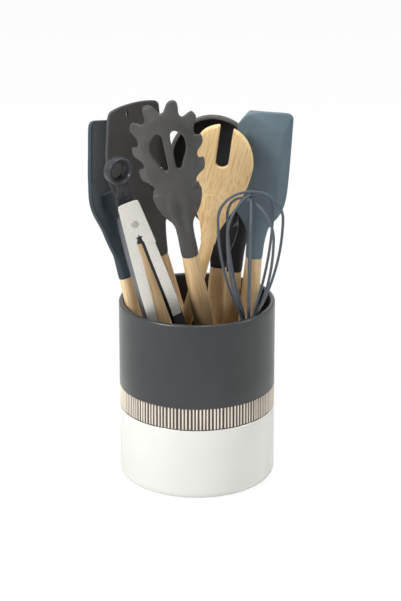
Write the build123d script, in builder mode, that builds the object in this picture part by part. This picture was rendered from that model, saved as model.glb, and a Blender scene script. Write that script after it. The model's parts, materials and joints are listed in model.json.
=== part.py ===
from build123d import *
import os
from math import atan2, cos, degrees, radians, sin, sqrt

os.makedirs("parts", exist_ok=True)

# Crock, a straight thrown cylinder with a rounded lip
crock_radius = 64.0
crock_height = 152.3
wall = 4.0
floor_thickness = 6.0
foot_round = 6.5
inner_foot_round = 5.0
band_foot_height = 60.8
band_height = 19.7
glaze_line_depth = 0.35
glaze_line_width = 1.2

# Clearances and overruns shared by all pieces
resting_gap = 0.3
fit_gap = 0.12
running_gap = 0.15
cut_overrun = 5.0
lip_round_share = 0.45

# Bamboo handles, oval in section
ferrule_half_width = 6.7
ferrule_half_depth = 4.5
belly_half_width = 8.2
belly_half_depth = 5.2
butt_half_width = 6.9
butt_half_depth = 4.7
butt_round = 3.0
belly_share = 0.42
tenon_radius = 2.9
tenon_length = 24.0
tenon_chamfer = 0.6

# Each utensil stands on the crock's floor at stand shares of the inner radius,
# and crosses the rim's plane at rim shares of it. Turns are about the handle.
spoonula_stand_shares = (-0.331, -0.353)
spoonula_rim_shares = (-0.892, -0.099)
spoonula_turn = 58.0
turner_stand_shares = (0.267, 0.290)
turner_rim_shares = (-0.347, 0.182)
turner_turn = 35.0
lifter_stand_shares = (0.002, 0.715)
lifter_rim_shares = (-0.623, 0.644)
lifter_turn = 12.0
fork_stand_shares = (0.461, 0.604)
fork_rim_shares = (0.052, -0.284)
fork_turn = 0.0
wood_stand_shares = (-0.688, 0.150)
wood_rim_shares = (-0.069, -0.085)
wood_turn = 0.0
ladle_stand_shares = (0.112, 0.580)
ladle_rim_shares = (0.271, 0.346)
ladle_turn = 0.0
spoon_stand_shares = (0.319, 0.801)
spoon_rim_shares = (0.495, 0.683)
spoon_turn = 0.0
spatula_stand_shares = (0.520, 0.280)
spatula_rim_shares = (0.726, 0.101)
spatula_turn = 0.0
whisk_stand_shares = (0.682, 0.107)
whisk_rim_shares = (0.700, -0.453)
whisk_turn = 0.0
tongs_stand_shares = (0.346, -0.142)
tongs_rim_shares = (-0.475, -0.462)
tongs_turn = 0.0

# The side that the heads are shown to, as a direction
look_down = 20.5

# Handle lengths, from the butt to the silicone sleeve
spoonula_handle_length = 170.4
turner_handle_length = 185.7
lifter_handle_length = 186.7
fork_handle_length = 210.4
ladle_handle_length = 168.0
spoon_handle_length = 155.6
spatula_handle_length = 181.3
whisk_handle_length = 112.0

# Spoonula, a deep-edged scraping spoon that curls forward
spoonula_length = 134.0
spoonula_half_width = 28.0
spoonula_thickness = 4.2
spoonula_curl = 17.0
spoonula_dish_depth = 2.4
spoonula_neck_length = 40.0
spoonula_neck_share = 0.42
spoonula_top_share = 0.80
spoonula_half_shares = ((0.25, 0.38), (0.37, 0.62), (0.48, 0.86), (0.60, 0.98), (0.80, 1.00), (0.93, 0.97))
spoonula_tangent_shares = ((0.1, 1.0), (-0.1, 1.0))
spoonula_bend_shares = ((0.20, 0.0), (0.45, 0.06), (0.66, 0.28), (0.82, 0.60), (1.0, 1.0))

# Slotted turner
turner_length = 128.0
turner_half_width = 31.0
turner_thickness = 3.2
turner_curl = 17.0
turner_neck_length = 32.0
turner_slot_count = 5
turner_slot_width = 4.6
turner_slot_pitch = 9.2
turner_slot_length = 44.0
turner_slot_top_margin = 16.0
turner_neck_share = 0.58
turner_half_shares = ((0.24, 0.62), (0.34, 0.90), (0.48, 1.00), (0.76, 1.00), (0.95, 0.86))
turner_top_shares = ((0.99, 0.78), (1.02, 0.40))
turner_bend_shares = ((0.16, 0.0), (0.40, 0.12), (0.60, 0.30), (0.78, 0.55), (1.03, 1.0))
turner_shoulder_shares = (1.0, 1.0)
turner_corner_shares = (-0.3, 1.0)

# Solid turner behind it
lifter_length = 112.0
lifter_half_width = 20.0
lifter_thickness = 3.2
lifter_neck_length = 34.0
lifter_corner = 7.0
lifter_neck_share = 0.6
lifter_root_share = 0.45
lifter_root_height_share = 0.8
lifter_middle_share = 0.9

# Pasta fork
fork_neck_length = 67.0
fork_centre_height = 100.0
fork_half_width = 22.5
fork_half_height = 38.0
fork_thickness = 3.4
fork_dish_radius = 92.0
fork_teeth_per_side = 5
fork_tooth_pitch = 33.0
fork_tooth_width = 8.6
fork_tooth_tip_width = 6.4
fork_tooth_length = 12.5
fork_tooth_lean = 36.0
fork_tooth_inset = 4.2
fork_tooth_tip_share = 0.8
fork_neck_share = 0.52
fork_neck_depth_share = 0.55
fork_tooth_root_share = 0.8
fork_hole_half_width = 14.2
fork_hole_half_height = 18.6
fork_rib_width = 6.4

# Wooden slotted spoon, one piece of bamboo
wood_length = 311.0
wood_handle_radius = 5.3
wood_butt_radius = 4.6
wood_neck_start = 196.0
wood_bowl_half_width = 25.5
wood_thickness = 8.5
wood_dish_depth = 4.6
wood_slot_half_width = 5.0
wood_slot_foot = 279.5
wood_centre_shares = (
    (0.630, 0.00),
    (0.717, -0.12),
    (0.786, -0.20),
    (0.832, -0.25),
    (0.873, -0.27),
    (0.916, -0.29),
    (0.950, -0.31),
    (0.985, -0.33),
)
wood_half_shares = (0.21, 0.39, 0.77, 0.91, 1.00, 0.98, 0.86, 0.55)
wood_root_share = 0.9
wood_dish_height_share = 0.93
wood_dish_width_share = 0.88
wood_slot_foot_share = 0.03
wood_slot_mouth_share = 0.3

# Ladle, a large deep oval spoon
ladle_bowl_half_width = 35.8
ladle_bowl_rise = 38.6
ladle_bowl_drop = 71.0
ladle_bowl_depth = 22.0
ladle_bowl_height = 95.0
ladle_wall = 3.0
ladle_neck_length = 34.0
ladle_skew = 8.6
bowl_neck_share = 0.46
bowl_neck_depth_share = 0.8

# Serving spoon
spoon_bowl_half_width = 26.0
spoon_bowl_rise = 30.0
spoon_bowl_drop = 50.0
spoon_bowl_depth = 14.0
spoon_bowl_height = 96.0
spoon_wall = 2.8
spoon_neck_length = 52.0

# Spatula with a bevelled blade
spatula_length = 128.6
spatula_half_width = 22.4
spatula_thickness = 9.0
spatula_edge_thickness = 3.0
spatula_shoulder_height = 56.0
spatula_shoulder_round = 18.0
spatula_corner = 7.0
spatula_chamfer_width = 10.5
spatula_chamfer_height = 16.0
spatula_bevel_width = 12.0
spatula_neck_length = 36.0
spatula_neck_share = 0.62
spatula_root_share = 0.5
spatula_root_height_share = 0.72

# Whisk, four nested loops of coated wire
whisk_wire_radius = 1.1
whisk_loop_count = 4
whisk_loop_half_width = 25.8
whisk_apex_height = 261.0
whisk_loop_step = 2.7
whisk_foot_bend_radius = 38.0
whisk_wire_foot_radius = 4.9
whisk_ferrule_length = 21.0
whisk_ferrule_radius = 7.2
whisk_handle_radius = 6.6
whisk_handle_butt_radius = 5.6
whisk_wire_socket_depth = 8.0

# Tongs, two channel-section steel arms on one pin
tongs_pin_height = 240.0
tongs_pin_offset = 4.8
tongs_pin_radius = 2.2
tongs_pin_head_radius = 3.0
tongs_pin_head_height = 0.9
tongs_sheet = 1.0
tongs_depth = 21.0
tongs_web_offset = 8.8
tongs_flange_width = 7.2
tongs_ear_top = 12.4
tongs_ear_foot = 17.0
tongs_ear_reach = 5.9
tongs_ear_round = 3.0
tongs_left_angle = 6.0
tongs_right_angle = 0.3
tongs_arm_length = 110.0
tongs_sleeve_start = 88.0
tongs_tip_end = 232.6
tongs_tip_wall = 0.8
tongs_tip_half_width = 10.5
tongs_tip_half_waist = 9.0
tongs_tip_thickness = 5.2
tongs_tip_scallops = 3
tongs_tip_bend_share = 0.8
tongs_tip_waist_share = 0.62
tongs_tip_belly_share = 0.9
tongs_tip_end_share = 0.92
tongs_scallop_share = 0.22
tongs_taper_length = 8.0
tongs_ear_taper_share = 0.8
tongs_head_round_share = 0.6
tongs_spring_wire_radius = 0.6
tongs_spring_radius = 2.9
tongs_spring_pitch = 1.5
tongs_spring_turns = 2.5
tongs_spring_leg = 12.0
tongs_spring_knob_share = 1.15
tongs_spring_splays = (12.0, -24.0)

# Pull that locks the tongs
pull_travel = 8.0
pull_thickness = 6.0
pull_half_width = 6.4
pull_foot_half_width = 5.2
pull_foot_height = 13.0
pull_lean = 4.3
pull_ring_height = 40.8
pull_ring_radius = 11.7
pull_ring_depth = 11.0
pull_bore_radius = 7.2
pull_ring_turn = 24.0
pull_slot_half_width = 2.9
pull_slot_length = 9.0
pull_slot_height = 21.5
pull_shoulder_share = 0.9
pull_ring_root_share = 0.6
pull_foot_round_share = 0.4
pull_ring_round_share = 0.35

inner_radius = crock_radius - wall
socket_radius = tenon_radius + fit_gap
socket_depth = tenon_length + resting_gap
standing = (Align.CENTER, Align.CENTER, Align.MIN)


def upright_plane(stand_shares, rim_shares, turn, lift):
    """Plane at a utensil's butt: Z along its handle, Y away from the shown side."""
    stand = Vector(stand_shares[0] * inner_radius, stand_shares[1] * inner_radius, floor_thickness)
    crossing = Vector(rim_shares[0] * inner_radius, rim_shares[1] * inner_radius, crock_height)
    along = (crossing - stand).normalized()
    shown = Vector(0, -cos(radians(look_down)), sin(radians(look_down)))
    front = (shown - along * shown.dot(along)).normalized()
    across = along.cross(front)
    facing = front * cos(radians(turn)) + across * sin(radians(turn))
    return Plane(origin=stand + along * lift, x_dir=along.cross(facing), z_dir=along)


def butt_lift(stand_shares, rim_shares, turn, half_width, half_depth, rounding):
    """Distance along the handle that keeps a rounded oval butt just off the floor."""
    trial = upright_plane(stand_shares, rim_shares, turn, 0)
    dip = sqrt(
        ((half_width - rounding) * trial.x_dir.Z) ** 2 + ((half_depth - rounding) * trial.y_dir.Z) ** 2
    )
    return (resting_gap + dip + rounding * (1 - trial.z_dir.Z)) / trial.z_dir.Z


def handle_plane(stand_shares, rim_shares, turn):
    """Plane of a bamboo handle that stands on the crock's floor."""
    lift = butt_lift(stand_shares, rim_shares, turn, butt_half_width, butt_half_depth, butt_round)
    return upright_plane(stand_shares, rim_shares, turn, lift)


def save(piece, plane, name):
    """Put a finished piece in its place in the crock and write it."""
    placed = piece.moved(plane.location)
    placed.label = name
    export_step(placed, f"parts/{name}.step")


def bamboo_handle(length):
    """Oval handle with a full belly, a rounded butt and a turned tenon on top."""
    with BuildPart() as handle:
        with BuildSketch(Plane.XY):
            Ellipse(butt_half_width, butt_half_depth)
        with BuildSketch(Plane.XY.offset(length * belly_share)):
            Ellipse(belly_half_width, belly_half_depth)
        with BuildSketch(Plane.XY.offset(length)):
            Ellipse(ferrule_half_width, ferrule_half_depth)
        loft()
        fillet(handle.edges().group_by(Axis.Z)[0], butt_round)
        with BuildSketch(Plane.XY.offset(length)):
            Circle(tenon_radius)
        extrude(amount=tenon_length)
        chamfer(handle.edges().group_by(Axis.Z)[-1], tenon_chamfer)
    return handle.part


def neck(length, end_half_width, end_half_depth):
    """Sleeve that blends the handle's oval into a flatter oval at the head."""
    with BuildPart() as sleeve:
        with BuildSketch(Plane.XY):
            Ellipse(ferrule_half_width, ferrule_half_depth)
        with BuildSketch(Plane.XY.offset(length / 2)):
            Ellipse((ferrule_half_width + end_half_width) / 2, (ferrule_half_depth + end_half_depth) / 2)
        with BuildSketch(Plane.XY.offset(length)):
            Ellipse(end_half_width, end_half_depth)
        loft()
    return sleeve.part


def egg(half_width, rise, drop, depth):
    """Half of an egg: flat in front, round behind, longer below than above."""
    with BuildPart() as upper:
        Sphere(1)
        split(bisect_by=Plane.XY, keep=Keep.TOP)
        split(bisect_by=Plane.XZ, keep=Keep.BOTTOM)
    with BuildPart() as lower:
        Sphere(1)
        split(bisect_by=Plane.XY, keep=Keep.BOTTOM)
        split(bisect_by=Plane.XZ, keep=Keep.BOTTOM)
    with BuildPart() as whole:
        add(scale(upper.part, by=(half_width, depth, rise), mode=Mode.PRIVATE))
        add(scale(lower.part, by=(half_width, depth, drop), mode=Mode.PRIVATE))
    return whole.part


# The crock
with BuildPart() as crock_body:
    with BuildSketch(Plane.XZ) as crock_profile:
        with BuildLine():
            Polyline(
                (0, 0),
                (crock_radius, 0),
                (crock_radius, crock_height),
                (inner_radius, crock_height),
                (inner_radius, floor_thickness),
                (0, floor_thickness),
                close=True,
            )
        make_face()
        outer_corner = crock_profile.vertices().group_by(Axis.Y)[0].sort_by(Axis.X)[-1]
        fillet(outer_corner, foot_round)
        floor_corners = crock_profile.vertices().filter_by(
            lambda v: abs(v.Y - floor_thickness) < glaze_line_depth
        )
        inner_corner = floor_corners.sort_by(Axis.X)[-1]
        fillet(inner_corner, inner_foot_round)
        lip_corners = crock_profile.vertices().group_by(Axis.Y)[-1]
        fillet(lip_corners, wall * lip_round_share)
    revolve(axis=Axis.Z)
    with BuildSketch(Plane.XZ):
        with Locations((crock_radius, band_foot_height)):
            Rectangle(2 * glaze_line_depth, glaze_line_width)
    revolve(axis=Axis.Z, mode=Mode.SUBTRACT)
save(crock_body.part, Plane.XY, "crock_body")

# Spoonula
with BuildPart() as spoonula_blade:
    with BuildSketch(Plane.XZ) as spoonula_outline:
        with BuildLine():
            right_side = [
                (spoonula_half_width * w, spoonula_length * h) for h, w in spoonula_half_shares
            ]
            side = Spline(*right_side, tangents=spoonula_tangent_shares)
            mirror(side, about=Plane.YZ)
            Line((-right_side[0][0], right_side[0][1]), right_side[0])
            top = (spoonula_half_width * spoonula_top_share, spoonula_length)
            Polyline(right_side[-1], top, (-top[0], top[1]), (-right_side[-1][0], right_side[-1][1]))
        make_face()
    extrude(amount=spoonula_curl + cut_overrun * 2, both=True)
    with BuildSketch(Plane.YZ) as spoonula_side:
        with BuildLine():
            bend = [(-spoonula_curl * b, spoonula_length * h) for h, b in spoonula_bend_shares]
            front = Spline(*[(y - spoonula_thickness / 2, z) for y, z in bend])
            back = Spline(*[(y + spoonula_thickness / 2, z) for y, z in bend])
            Line(front @ 0, back @ 0)
            Line(front @ 1, back @ 1)
        make_face()
    extrude(amount=spoonula_half_width + cut_overrun, both=True, mode=Mode.INTERSECT)
with BuildPart() as spoonula_head:
    add(neck(spoonula_neck_length, spoonula_half_width * spoonula_neck_share, spoonula_thickness / 2))
    add(spoonula_blade.part)
    Cylinder(socket_radius, socket_depth, align=standing, mode=Mode.SUBTRACT)
spoonula_plane = handle_plane(spoonula_stand_shares, spoonula_rim_shares, spoonula_turn)
save(bamboo_handle(spoonula_handle_length), spoonula_plane, "spoonula_handle")
save(spoonula_head.part, spoonula_plane.offset(spoonula_handle_length), "spoonula_head")

# Slotted turner
with BuildPart() as turner_blade:
    with BuildSketch(Plane.XZ):
        with BuildLine():
            right_side = [(turner_half_width * w, turner_length * h) for h, w in turner_half_shares]
            top_edge = [(turner_half_width * w, turner_length * h) for h, w in turner_top_shares]
            side = Spline(*right_side, tangents=(turner_shoulder_shares, turner_corner_shares))
            mirror(side, about=Plane.YZ)
            Spline(
                right_side[-1],
                *top_edge,
                *[(-x, z) for x, z in reversed(top_edge)],
                (-right_side[-1][0], right_side[-1][1]),
                tangents=(turner_corner_shares, (turner_corner_shares[0], -turner_corner_shares[1])),
            )
            Line((-right_side[0][0], right_side[0][1]), right_side[0])
        make_face()
    extrude(amount=turner_curl + cut_overrun * 2, both=True)
    with BuildSketch(Plane.YZ):
        with BuildLine():
            bend = [(-turner_curl * b, turner_length * h) for h, b in turner_bend_shares]
            front = Spline(*[(y - turner_thickness / 2, z) for y, z in bend])
            back = Spline(*[(y + turner_thickness / 2, z) for y, z in bend])
            Line(front @ 0, back @ 0)
            Line(front @ 1, back @ 1)
        make_face()
    extrude(amount=turner_half_width + cut_overrun, both=True, mode=Mode.INTERSECT)
    slot_centre = turner_length - turner_slot_top_margin - turner_slot_length / 2
    with BuildSketch(Plane.XZ):
        with Locations((0, slot_centre)):
            with GridLocations(turner_slot_pitch, 1, turner_slot_count, 1):
                SlotOverall(turner_slot_length, turner_slot_width, rotation=90)
    extrude(amount=turner_curl + cut_overrun * 2, both=True, mode=Mode.SUBTRACT)
with BuildPart() as turner_head:
    add(neck(turner_neck_length, turner_half_width * turner_neck_share, turner_thickness / 2))
    add(turner_blade.part)
    Cylinder(socket_radius, socket_depth, align=standing, mode=Mode.SUBTRACT)
turner_plane = handle_plane(turner_stand_shares, turner_rim_shares, turner_turn)
save(bamboo_handle(turner_handle_length), turner_plane, "slotted_turner_handle")
save(turner_head.part, turner_plane.offset(turner_handle_length), "slotted_turner_head")

# Solid turner, standing behind the slotted one
with BuildPart() as lifter_head:
    add(neck(lifter_neck_length, lifter_half_width * lifter_neck_share, lifter_thickness / 2))
    with BuildSketch(Plane.XZ) as lifter_outline:
        with BuildLine():
            Polyline(
                (lifter_half_width * lifter_root_share, lifter_neck_length * lifter_root_height_share),
                (lifter_half_width * lifter_middle_share, lifter_length / 2),
                (lifter_half_width, lifter_length),
                (-lifter_half_width, lifter_length),
                (-lifter_half_width * lifter_middle_share, lifter_length / 2),
                (-lifter_half_width * lifter_root_share, lifter_neck_length * lifter_root_height_share),
                close=True,
            )
        make_face()
        fillet(lifter_outline.vertices().group_by(Axis.Y)[-1], lifter_corner)
        fillet(lifter_outline.vertices().group_by(Axis.Y)[1], lifter_corner * 2)
    extrude(amount=lifter_thickness / 2, both=True)
    Cylinder(socket_radius, socket_depth, align=standing, mode=Mode.SUBTRACT)
lifter_plane = handle_plane(lifter_stand_shares, lifter_rim_shares, lifter_turn)
save(bamboo_handle(lifter_handle_length), lifter_plane, "solid_turner_handle")
save(lifter_head.part, lifter_plane.offset(lifter_handle_length), "solid_turner_head")

# Pasta fork: a dished oval with two drain holes and a ring of teeth that lean back
fork_front = -fork_half_height**2 / (2 * fork_dish_radius)
dish_centre_depth = fork_front + fork_dish_radius
with BuildPart() as fork_dish:
    with BuildSketch(Plane.XZ):
        with Locations((0, fork_centre_height)):
            Ellipse(fork_half_width, fork_half_height)
            Ellipse(fork_hole_half_width, fork_hole_half_height, mode=Mode.SUBTRACT)
            Rectangle(fork_rib_width, 2 * fork_hole_half_height + fork_rib_width)
    extrude(amount=fork_dish_radius / 2, both=True)
    with Locations((0, dish_centre_depth, fork_centre_height)):
        Sphere(fork_dish_radius, mode=Mode.INTERSECT)
        Sphere(fork_dish_radius - fork_thickness, mode=Mode.SUBTRACT)
with BuildPart() as fork_teeth:
    for tooth in range(2 * fork_teeth_per_side):
        angle = 90 + (tooth - fork_teeth_per_side + 1 / 2) * fork_tooth_pitch
        out_x = cos(radians(angle))
        out_z = sin(radians(angle))
        root_x = (fork_half_width - fork_tooth_inset) * out_x
        root_z = (fork_half_height - fork_tooth_inset) * out_z
        reach = root_x**2 + root_z**2
        root_y = dish_centre_depth - sqrt((fork_dish_radius - fork_thickness / 2) ** 2 - reach)
        outward = Vector(out_x / fork_half_width, 0, out_z / fork_half_height).normalized()
        aim = outward * cos(radians(fork_tooth_lean)) + Vector(0, sin(radians(fork_tooth_lean)), 0)
        root = Plane(
            origin=(root_x, root_y, fork_centre_height + root_z),
            x_dir=outward.cross(Vector(0, 1, 0)),
            z_dir=aim,
        )
        with BuildSketch(root):
            Rectangle(fork_tooth_width, fork_thickness * fork_tooth_root_share)
        with BuildSketch(root.offset(fork_tooth_length)):
            Rectangle(fork_tooth_tip_width, fork_thickness * fork_tooth_tip_share)
        loft(ruled=True)
with BuildPart() as fork_head:
    add(neck(fork_neck_length, fork_half_width * fork_neck_share, fork_thickness * fork_neck_depth_share))
    add(fork_dish.part)
    add(fork_teeth.part)
    Cylinder(socket_radius, socket_depth, align=standing, mode=Mode.SUBTRACT)
fork_plane = handle_plane(fork_stand_shares, fork_rim_shares, fork_turn)
save(bamboo_handle(fork_handle_length), fork_plane, "pasta_fork_handle")
save(fork_head.part, fork_plane.offset(fork_handle_length), "pasta_fork_head")

# Wooden spoon with one open slot, turned and carved from one piece
with BuildPart() as wood_blade:
    with BuildSketch(Plane.XZ):
        with BuildLine():
            middle = [(wood_bowl_half_width * c, wood_length * h) for h, c in wood_centre_shares]
            right_side = [(x + wood_bowl_half_width * w, z) for (x, z), w in zip(middle, wood_half_shares)]
            left_side = [(x - wood_bowl_half_width * w, z) for (x, z), w in zip(middle, wood_half_shares)]
            top = (middle[-1][0] - wood_butt_radius / 2, wood_length)
            Spline(*right_side, top, *reversed(left_side))
            Line(left_side[0], right_side[0])
        make_face()
    extrude(amount=wood_thickness / 2, both=True)
with BuildPart() as wood_spoon:
    with BuildSketch(Plane.XY):
        Circle(wood_butt_radius)
    with BuildSketch(Plane.XY.offset(wood_neck_start / 2)):
        Circle(wood_handle_radius)
    with BuildSketch(Plane.XY.offset(wood_neck_start)):
        Circle(wood_handle_radius)
    loft()
    fillet(wood_spoon.edges().group_by(Axis.Z)[0], wood_butt_radius / 2)
    with BuildSketch(Plane.XY.offset(wood_neck_start)):
        Circle(wood_handle_radius)
    with BuildSketch(Plane.XY.offset(wood_length * wood_centre_shares[1][0])):
        with Locations((middle[1][0], 0)):
            Ellipse(wood_bowl_half_width * wood_half_shares[1] * wood_root_share, wood_thickness / 2)
    loft()
    add(wood_blade.part)
wood_dish_height = wood_length * wood_centre_shares[4][0]
wood_dish_centre = Vector(middle[4][0], -wood_thickness / 2, wood_dish_height)
wood_dish_half_height = (wood_length - wood_dish_height) * wood_dish_height_share
wood_dish_half_width = wood_bowl_half_width * wood_dish_width_share
with BuildPart() as wood_hollow:
    Sphere(1)
wood_scoop = scale(
    wood_hollow.part, by=(wood_dish_half_width, wood_dish_depth, wood_dish_half_height), mode=Mode.PRIVATE
)
with BuildPart() as wooden_spoon:
    add(wood_spoon.part)
    add(Pos(wood_dish_centre) * wood_scoop, mode=Mode.SUBTRACT)
    slot_foot = Vector(middle[4][0] + wood_bowl_half_width * wood_slot_foot_share, wood_slot_foot)
    slot_mouth_side = middle[-1][0] - wood_slot_half_width * wood_slot_mouth_share
    slot_mouth = Vector(slot_mouth_side, wood_length + cut_overrun)
    slot_run = slot_mouth - slot_foot
    with BuildSketch(Plane.XZ):
        with Locations(Vector(*(slot_foot + slot_mouth) / 2)):
            slot_angle = degrees(atan2(slot_run.Y, slot_run.X))
            SlotCenterToCenter(slot_run.length, 2 * wood_slot_half_width, rotation=slot_angle)
    extrude(amount=wood_thickness, both=True, mode=Mode.SUBTRACT)
wood_lift = butt_lift(
    wood_stand_shares, wood_rim_shares, wood_turn, wood_butt_radius, wood_butt_radius, wood_butt_radius / 2
)
wood_plane = upright_plane(wood_stand_shares, wood_rim_shares, wood_turn, wood_lift)
save(wooden_spoon.part, wood_plane, "wooden_spoon")


def bowl_head(neck_length, half_width, rise, drop, depth, height, thickness, skew):
    """Deep oval bowl on a neck; the bowl leans sideways by the skew angle."""
    inside = egg(half_width - thickness, rise - thickness, drop - thickness, depth - thickness)
    outside = egg(half_width, rise, drop, depth)
    joint = Vector(0, 0, height - drop)
    swing = Pos(joint) * Rot(0, -skew, 0) * Pos(0, 0, drop)
    with BuildPart() as head:
        add(neck(neck_length, half_width * bowl_neck_share, ferrule_half_depth * bowl_neck_depth_share))
        add(swing * outside)
        add(swing * inside, mode=Mode.SUBTRACT)
        Cylinder(socket_radius, socket_depth, align=standing, mode=Mode.SUBTRACT)
    return head.part


# Ladle
ladle_head = bowl_head(
    ladle_neck_length,
    ladle_bowl_half_width,
    ladle_bowl_rise,
    ladle_bowl_drop,
    ladle_bowl_depth,
    ladle_bowl_height,
    ladle_wall,
    ladle_skew,
)
ladle_plane = handle_plane(ladle_stand_shares, ladle_rim_shares, ladle_turn)
save(bamboo_handle(ladle_handle_length), ladle_plane, "ladle_handle")
save(ladle_head, ladle_plane.offset(ladle_handle_length), "ladle_head")

# Serving spoon, at the back
spoon_head = bowl_head(
    spoon_neck_length,
    spoon_bowl_half_width,
    spoon_bowl_rise,
    spoon_bowl_drop,
    spoon_bowl_depth,
    spoon_bowl_height,
    spoon_wall,
    0,
)
spoon_plane = handle_plane(spoon_stand_shares, spoon_rim_shares, spoon_turn)
save(bamboo_handle(spoon_handle_length), spoon_plane, "serving_spoon_handle")
save(spoon_head, spoon_plane.offset(spoon_handle_length), "serving_spoon_head")

# Spatula with a thick blade, bevelled to its right and top edges
with BuildPart() as spatula_head:
    add(neck(spatula_neck_length, spatula_half_width * spatula_neck_share, spatula_thickness / 2))
    with BuildSketch(Plane.XZ) as spatula_outline:
        with BuildLine():
            Polyline(
                (spatula_half_width * spatula_root_share, spatula_neck_length * spatula_root_height_share),
                (spatula_half_width, spatula_shoulder_height),
                (spatula_half_width, spatula_length),
                (-spatula_half_width + spatula_chamfer_width, spatula_length),
                (-spatula_half_width, spatula_length - spatula_chamfer_height),
                (-spatula_half_width, spatula_shoulder_height),
                (-spatula_half_width * spatula_root_share, spatula_neck_length * spatula_root_height_share),
                close=True,
            )
        make_face()
        shoulders = spatula_outline.vertices().filter_by_position(
            Axis.Y, spatula_shoulder_height - fit_gap, spatula_shoulder_height + fit_gap
        )
        fillet(shoulders, spatula_shoulder_round)
        fillet(spatula_outline.vertices().group_by(Axis.Y)[-1].sort_by(Axis.X)[-1], spatula_corner)
        fillet(spatula_outline.vertices().group_by(Axis.Y)[-1].sort_by(Axis.X)[0], spatula_corner / 2)
    extrude(amount=spatula_thickness / 2, both=True)
    bevel_depth = (spatula_thickness - spatula_edge_thickness) / 2
    bevel_root = spatula_half_width - spatula_bevel_width
    for face_side in (-1, 1):
        face = face_side * spatula_thickness / 2
        with BuildSketch(Plane.XY):
            with BuildLine():
                Polyline(
                    (bevel_root, face),
                    (spatula_half_width, face - face_side * bevel_depth),
                    (spatula_half_width + cut_overrun, face - face_side * bevel_depth),
                    (spatula_half_width + cut_overrun, face + face_side * cut_overrun),
                    (bevel_root, face + face_side * cut_overrun),
                    close=True,
                )
            make_face()
        extrude(amount=spatula_length + cut_overrun, mode=Mode.SUBTRACT)
        with BuildSketch(Plane.YZ):
            with BuildLine():
                Polyline(
                    (face_side * spatula_thickness / 2, spatula_length - spatula_bevel_width),
                    (face_side * (spatula_thickness / 2 - bevel_depth), spatula_length),
                    (face_side * (spatula_thickness / 2 - bevel_depth), spatula_length + cut_overrun),
                    (face_side * (spatula_thickness / 2 + cut_overrun), spatula_length + cut_overrun),
                    (face_side * (spatula_thickness / 2 + cut_overrun), spatula_length - spatula_bevel_width),
                    close=True,
                )
            make_face()
        extrude(amount=spatula_half_width + cut_overrun, both=True, mode=Mode.SUBTRACT)
    Cylinder(socket_radius, socket_depth, align=standing, mode=Mode.SUBTRACT)
spatula_plane = handle_plane(spatula_stand_shares, spatula_rim_shares, spatula_turn)
save(bamboo_handle(spatula_handle_length), spatula_plane, "spatula_handle")
save(spatula_head.part, spatula_plane.offset(spatula_handle_length), "spatula_head")

# Whisk
with BuildPart() as whisk_handle:
    with BuildSketch(Plane.XY):
        Circle(whisk_handle_butt_radius)
    with BuildSketch(Plane.XY.offset(whisk_handle_length * belly_share)):
        Circle(whisk_handle_radius)
    with BuildSketch(Plane.XY.offset(whisk_handle_length)):
        Circle(whisk_handle_radius)
    loft()
    fillet(whisk_handle.edges().group_by(Axis.Z)[0], whisk_handle_butt_radius / 2)
    with BuildSketch(Plane.XY.offset(whisk_handle_length)):
        Circle(tenon_radius)
    extrude(amount=whisk_ferrule_length / 3)
wire_foot = whisk_handle_length + whisk_ferrule_length - whisk_wire_socket_depth
with BuildPart() as whisk_ferrule:
    with BuildSketch(Plane.XY.offset(whisk_handle_length)):
        Circle(whisk_handle_radius)
    with BuildSketch(Plane.XY.offset(whisk_handle_length + whisk_ferrule_length)):
        Circle(whisk_ferrule_radius)
    loft()
    with BuildSketch(Plane.XY.offset(whisk_handle_length)):
        Circle(tenon_radius + fit_gap)
    extrude(amount=whisk_ferrule_length / 3 + resting_gap, mode=Mode.SUBTRACT)
    with BuildSketch(Plane.XY.offset(wire_foot)):
        with PolarLocations(whisk_wire_foot_radius, 2 * whisk_loop_count):
            Circle(whisk_wire_radius + fit_gap)
    extrude(amount=whisk_wire_socket_depth, mode=Mode.SUBTRACT)
whisk_lift = butt_lift(
    whisk_stand_shares,
    whisk_rim_shares,
    whisk_turn,
    whisk_handle_butt_radius,
    whisk_handle_butt_radius,
    whisk_handle_butt_radius / 2,
)
whisk_plane = upright_plane(whisk_stand_shares, whisk_rim_shares, whisk_turn, whisk_lift)
save(whisk_handle.part, whisk_plane, "whisk_handle")
save(whisk_ferrule.part, whisk_plane, "whisk_ferrule")
ferrule_top = whisk_handle_length + whisk_ferrule_length


def loop_half(apex):
    """Right half of one loop, as the points of a short and a long bend above the ferrule."""
    widest = apex - whisk_loop_half_width
    swell = whisk_loop_half_width - whisk_wire_foot_radius
    bend = 2 * atan2(swell, widest - ferrule_top)
    long_radius = (widest - ferrule_top) / sin(bend) - whisk_foot_bend_radius
    points = []
    for turn in (0, bend / 2, bend):
        out = whisk_wire_foot_radius + whisk_foot_bend_radius * (1 - cos(turn))
        points.append((out, ferrule_top + whisk_foot_bend_radius * sin(turn)))
    for turn in (bend / 2, 0):
        out = whisk_loop_half_width - long_radius * (1 - cos(turn))
        points.append((out, widest - long_radius * sin(turn)))
    return points


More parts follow.
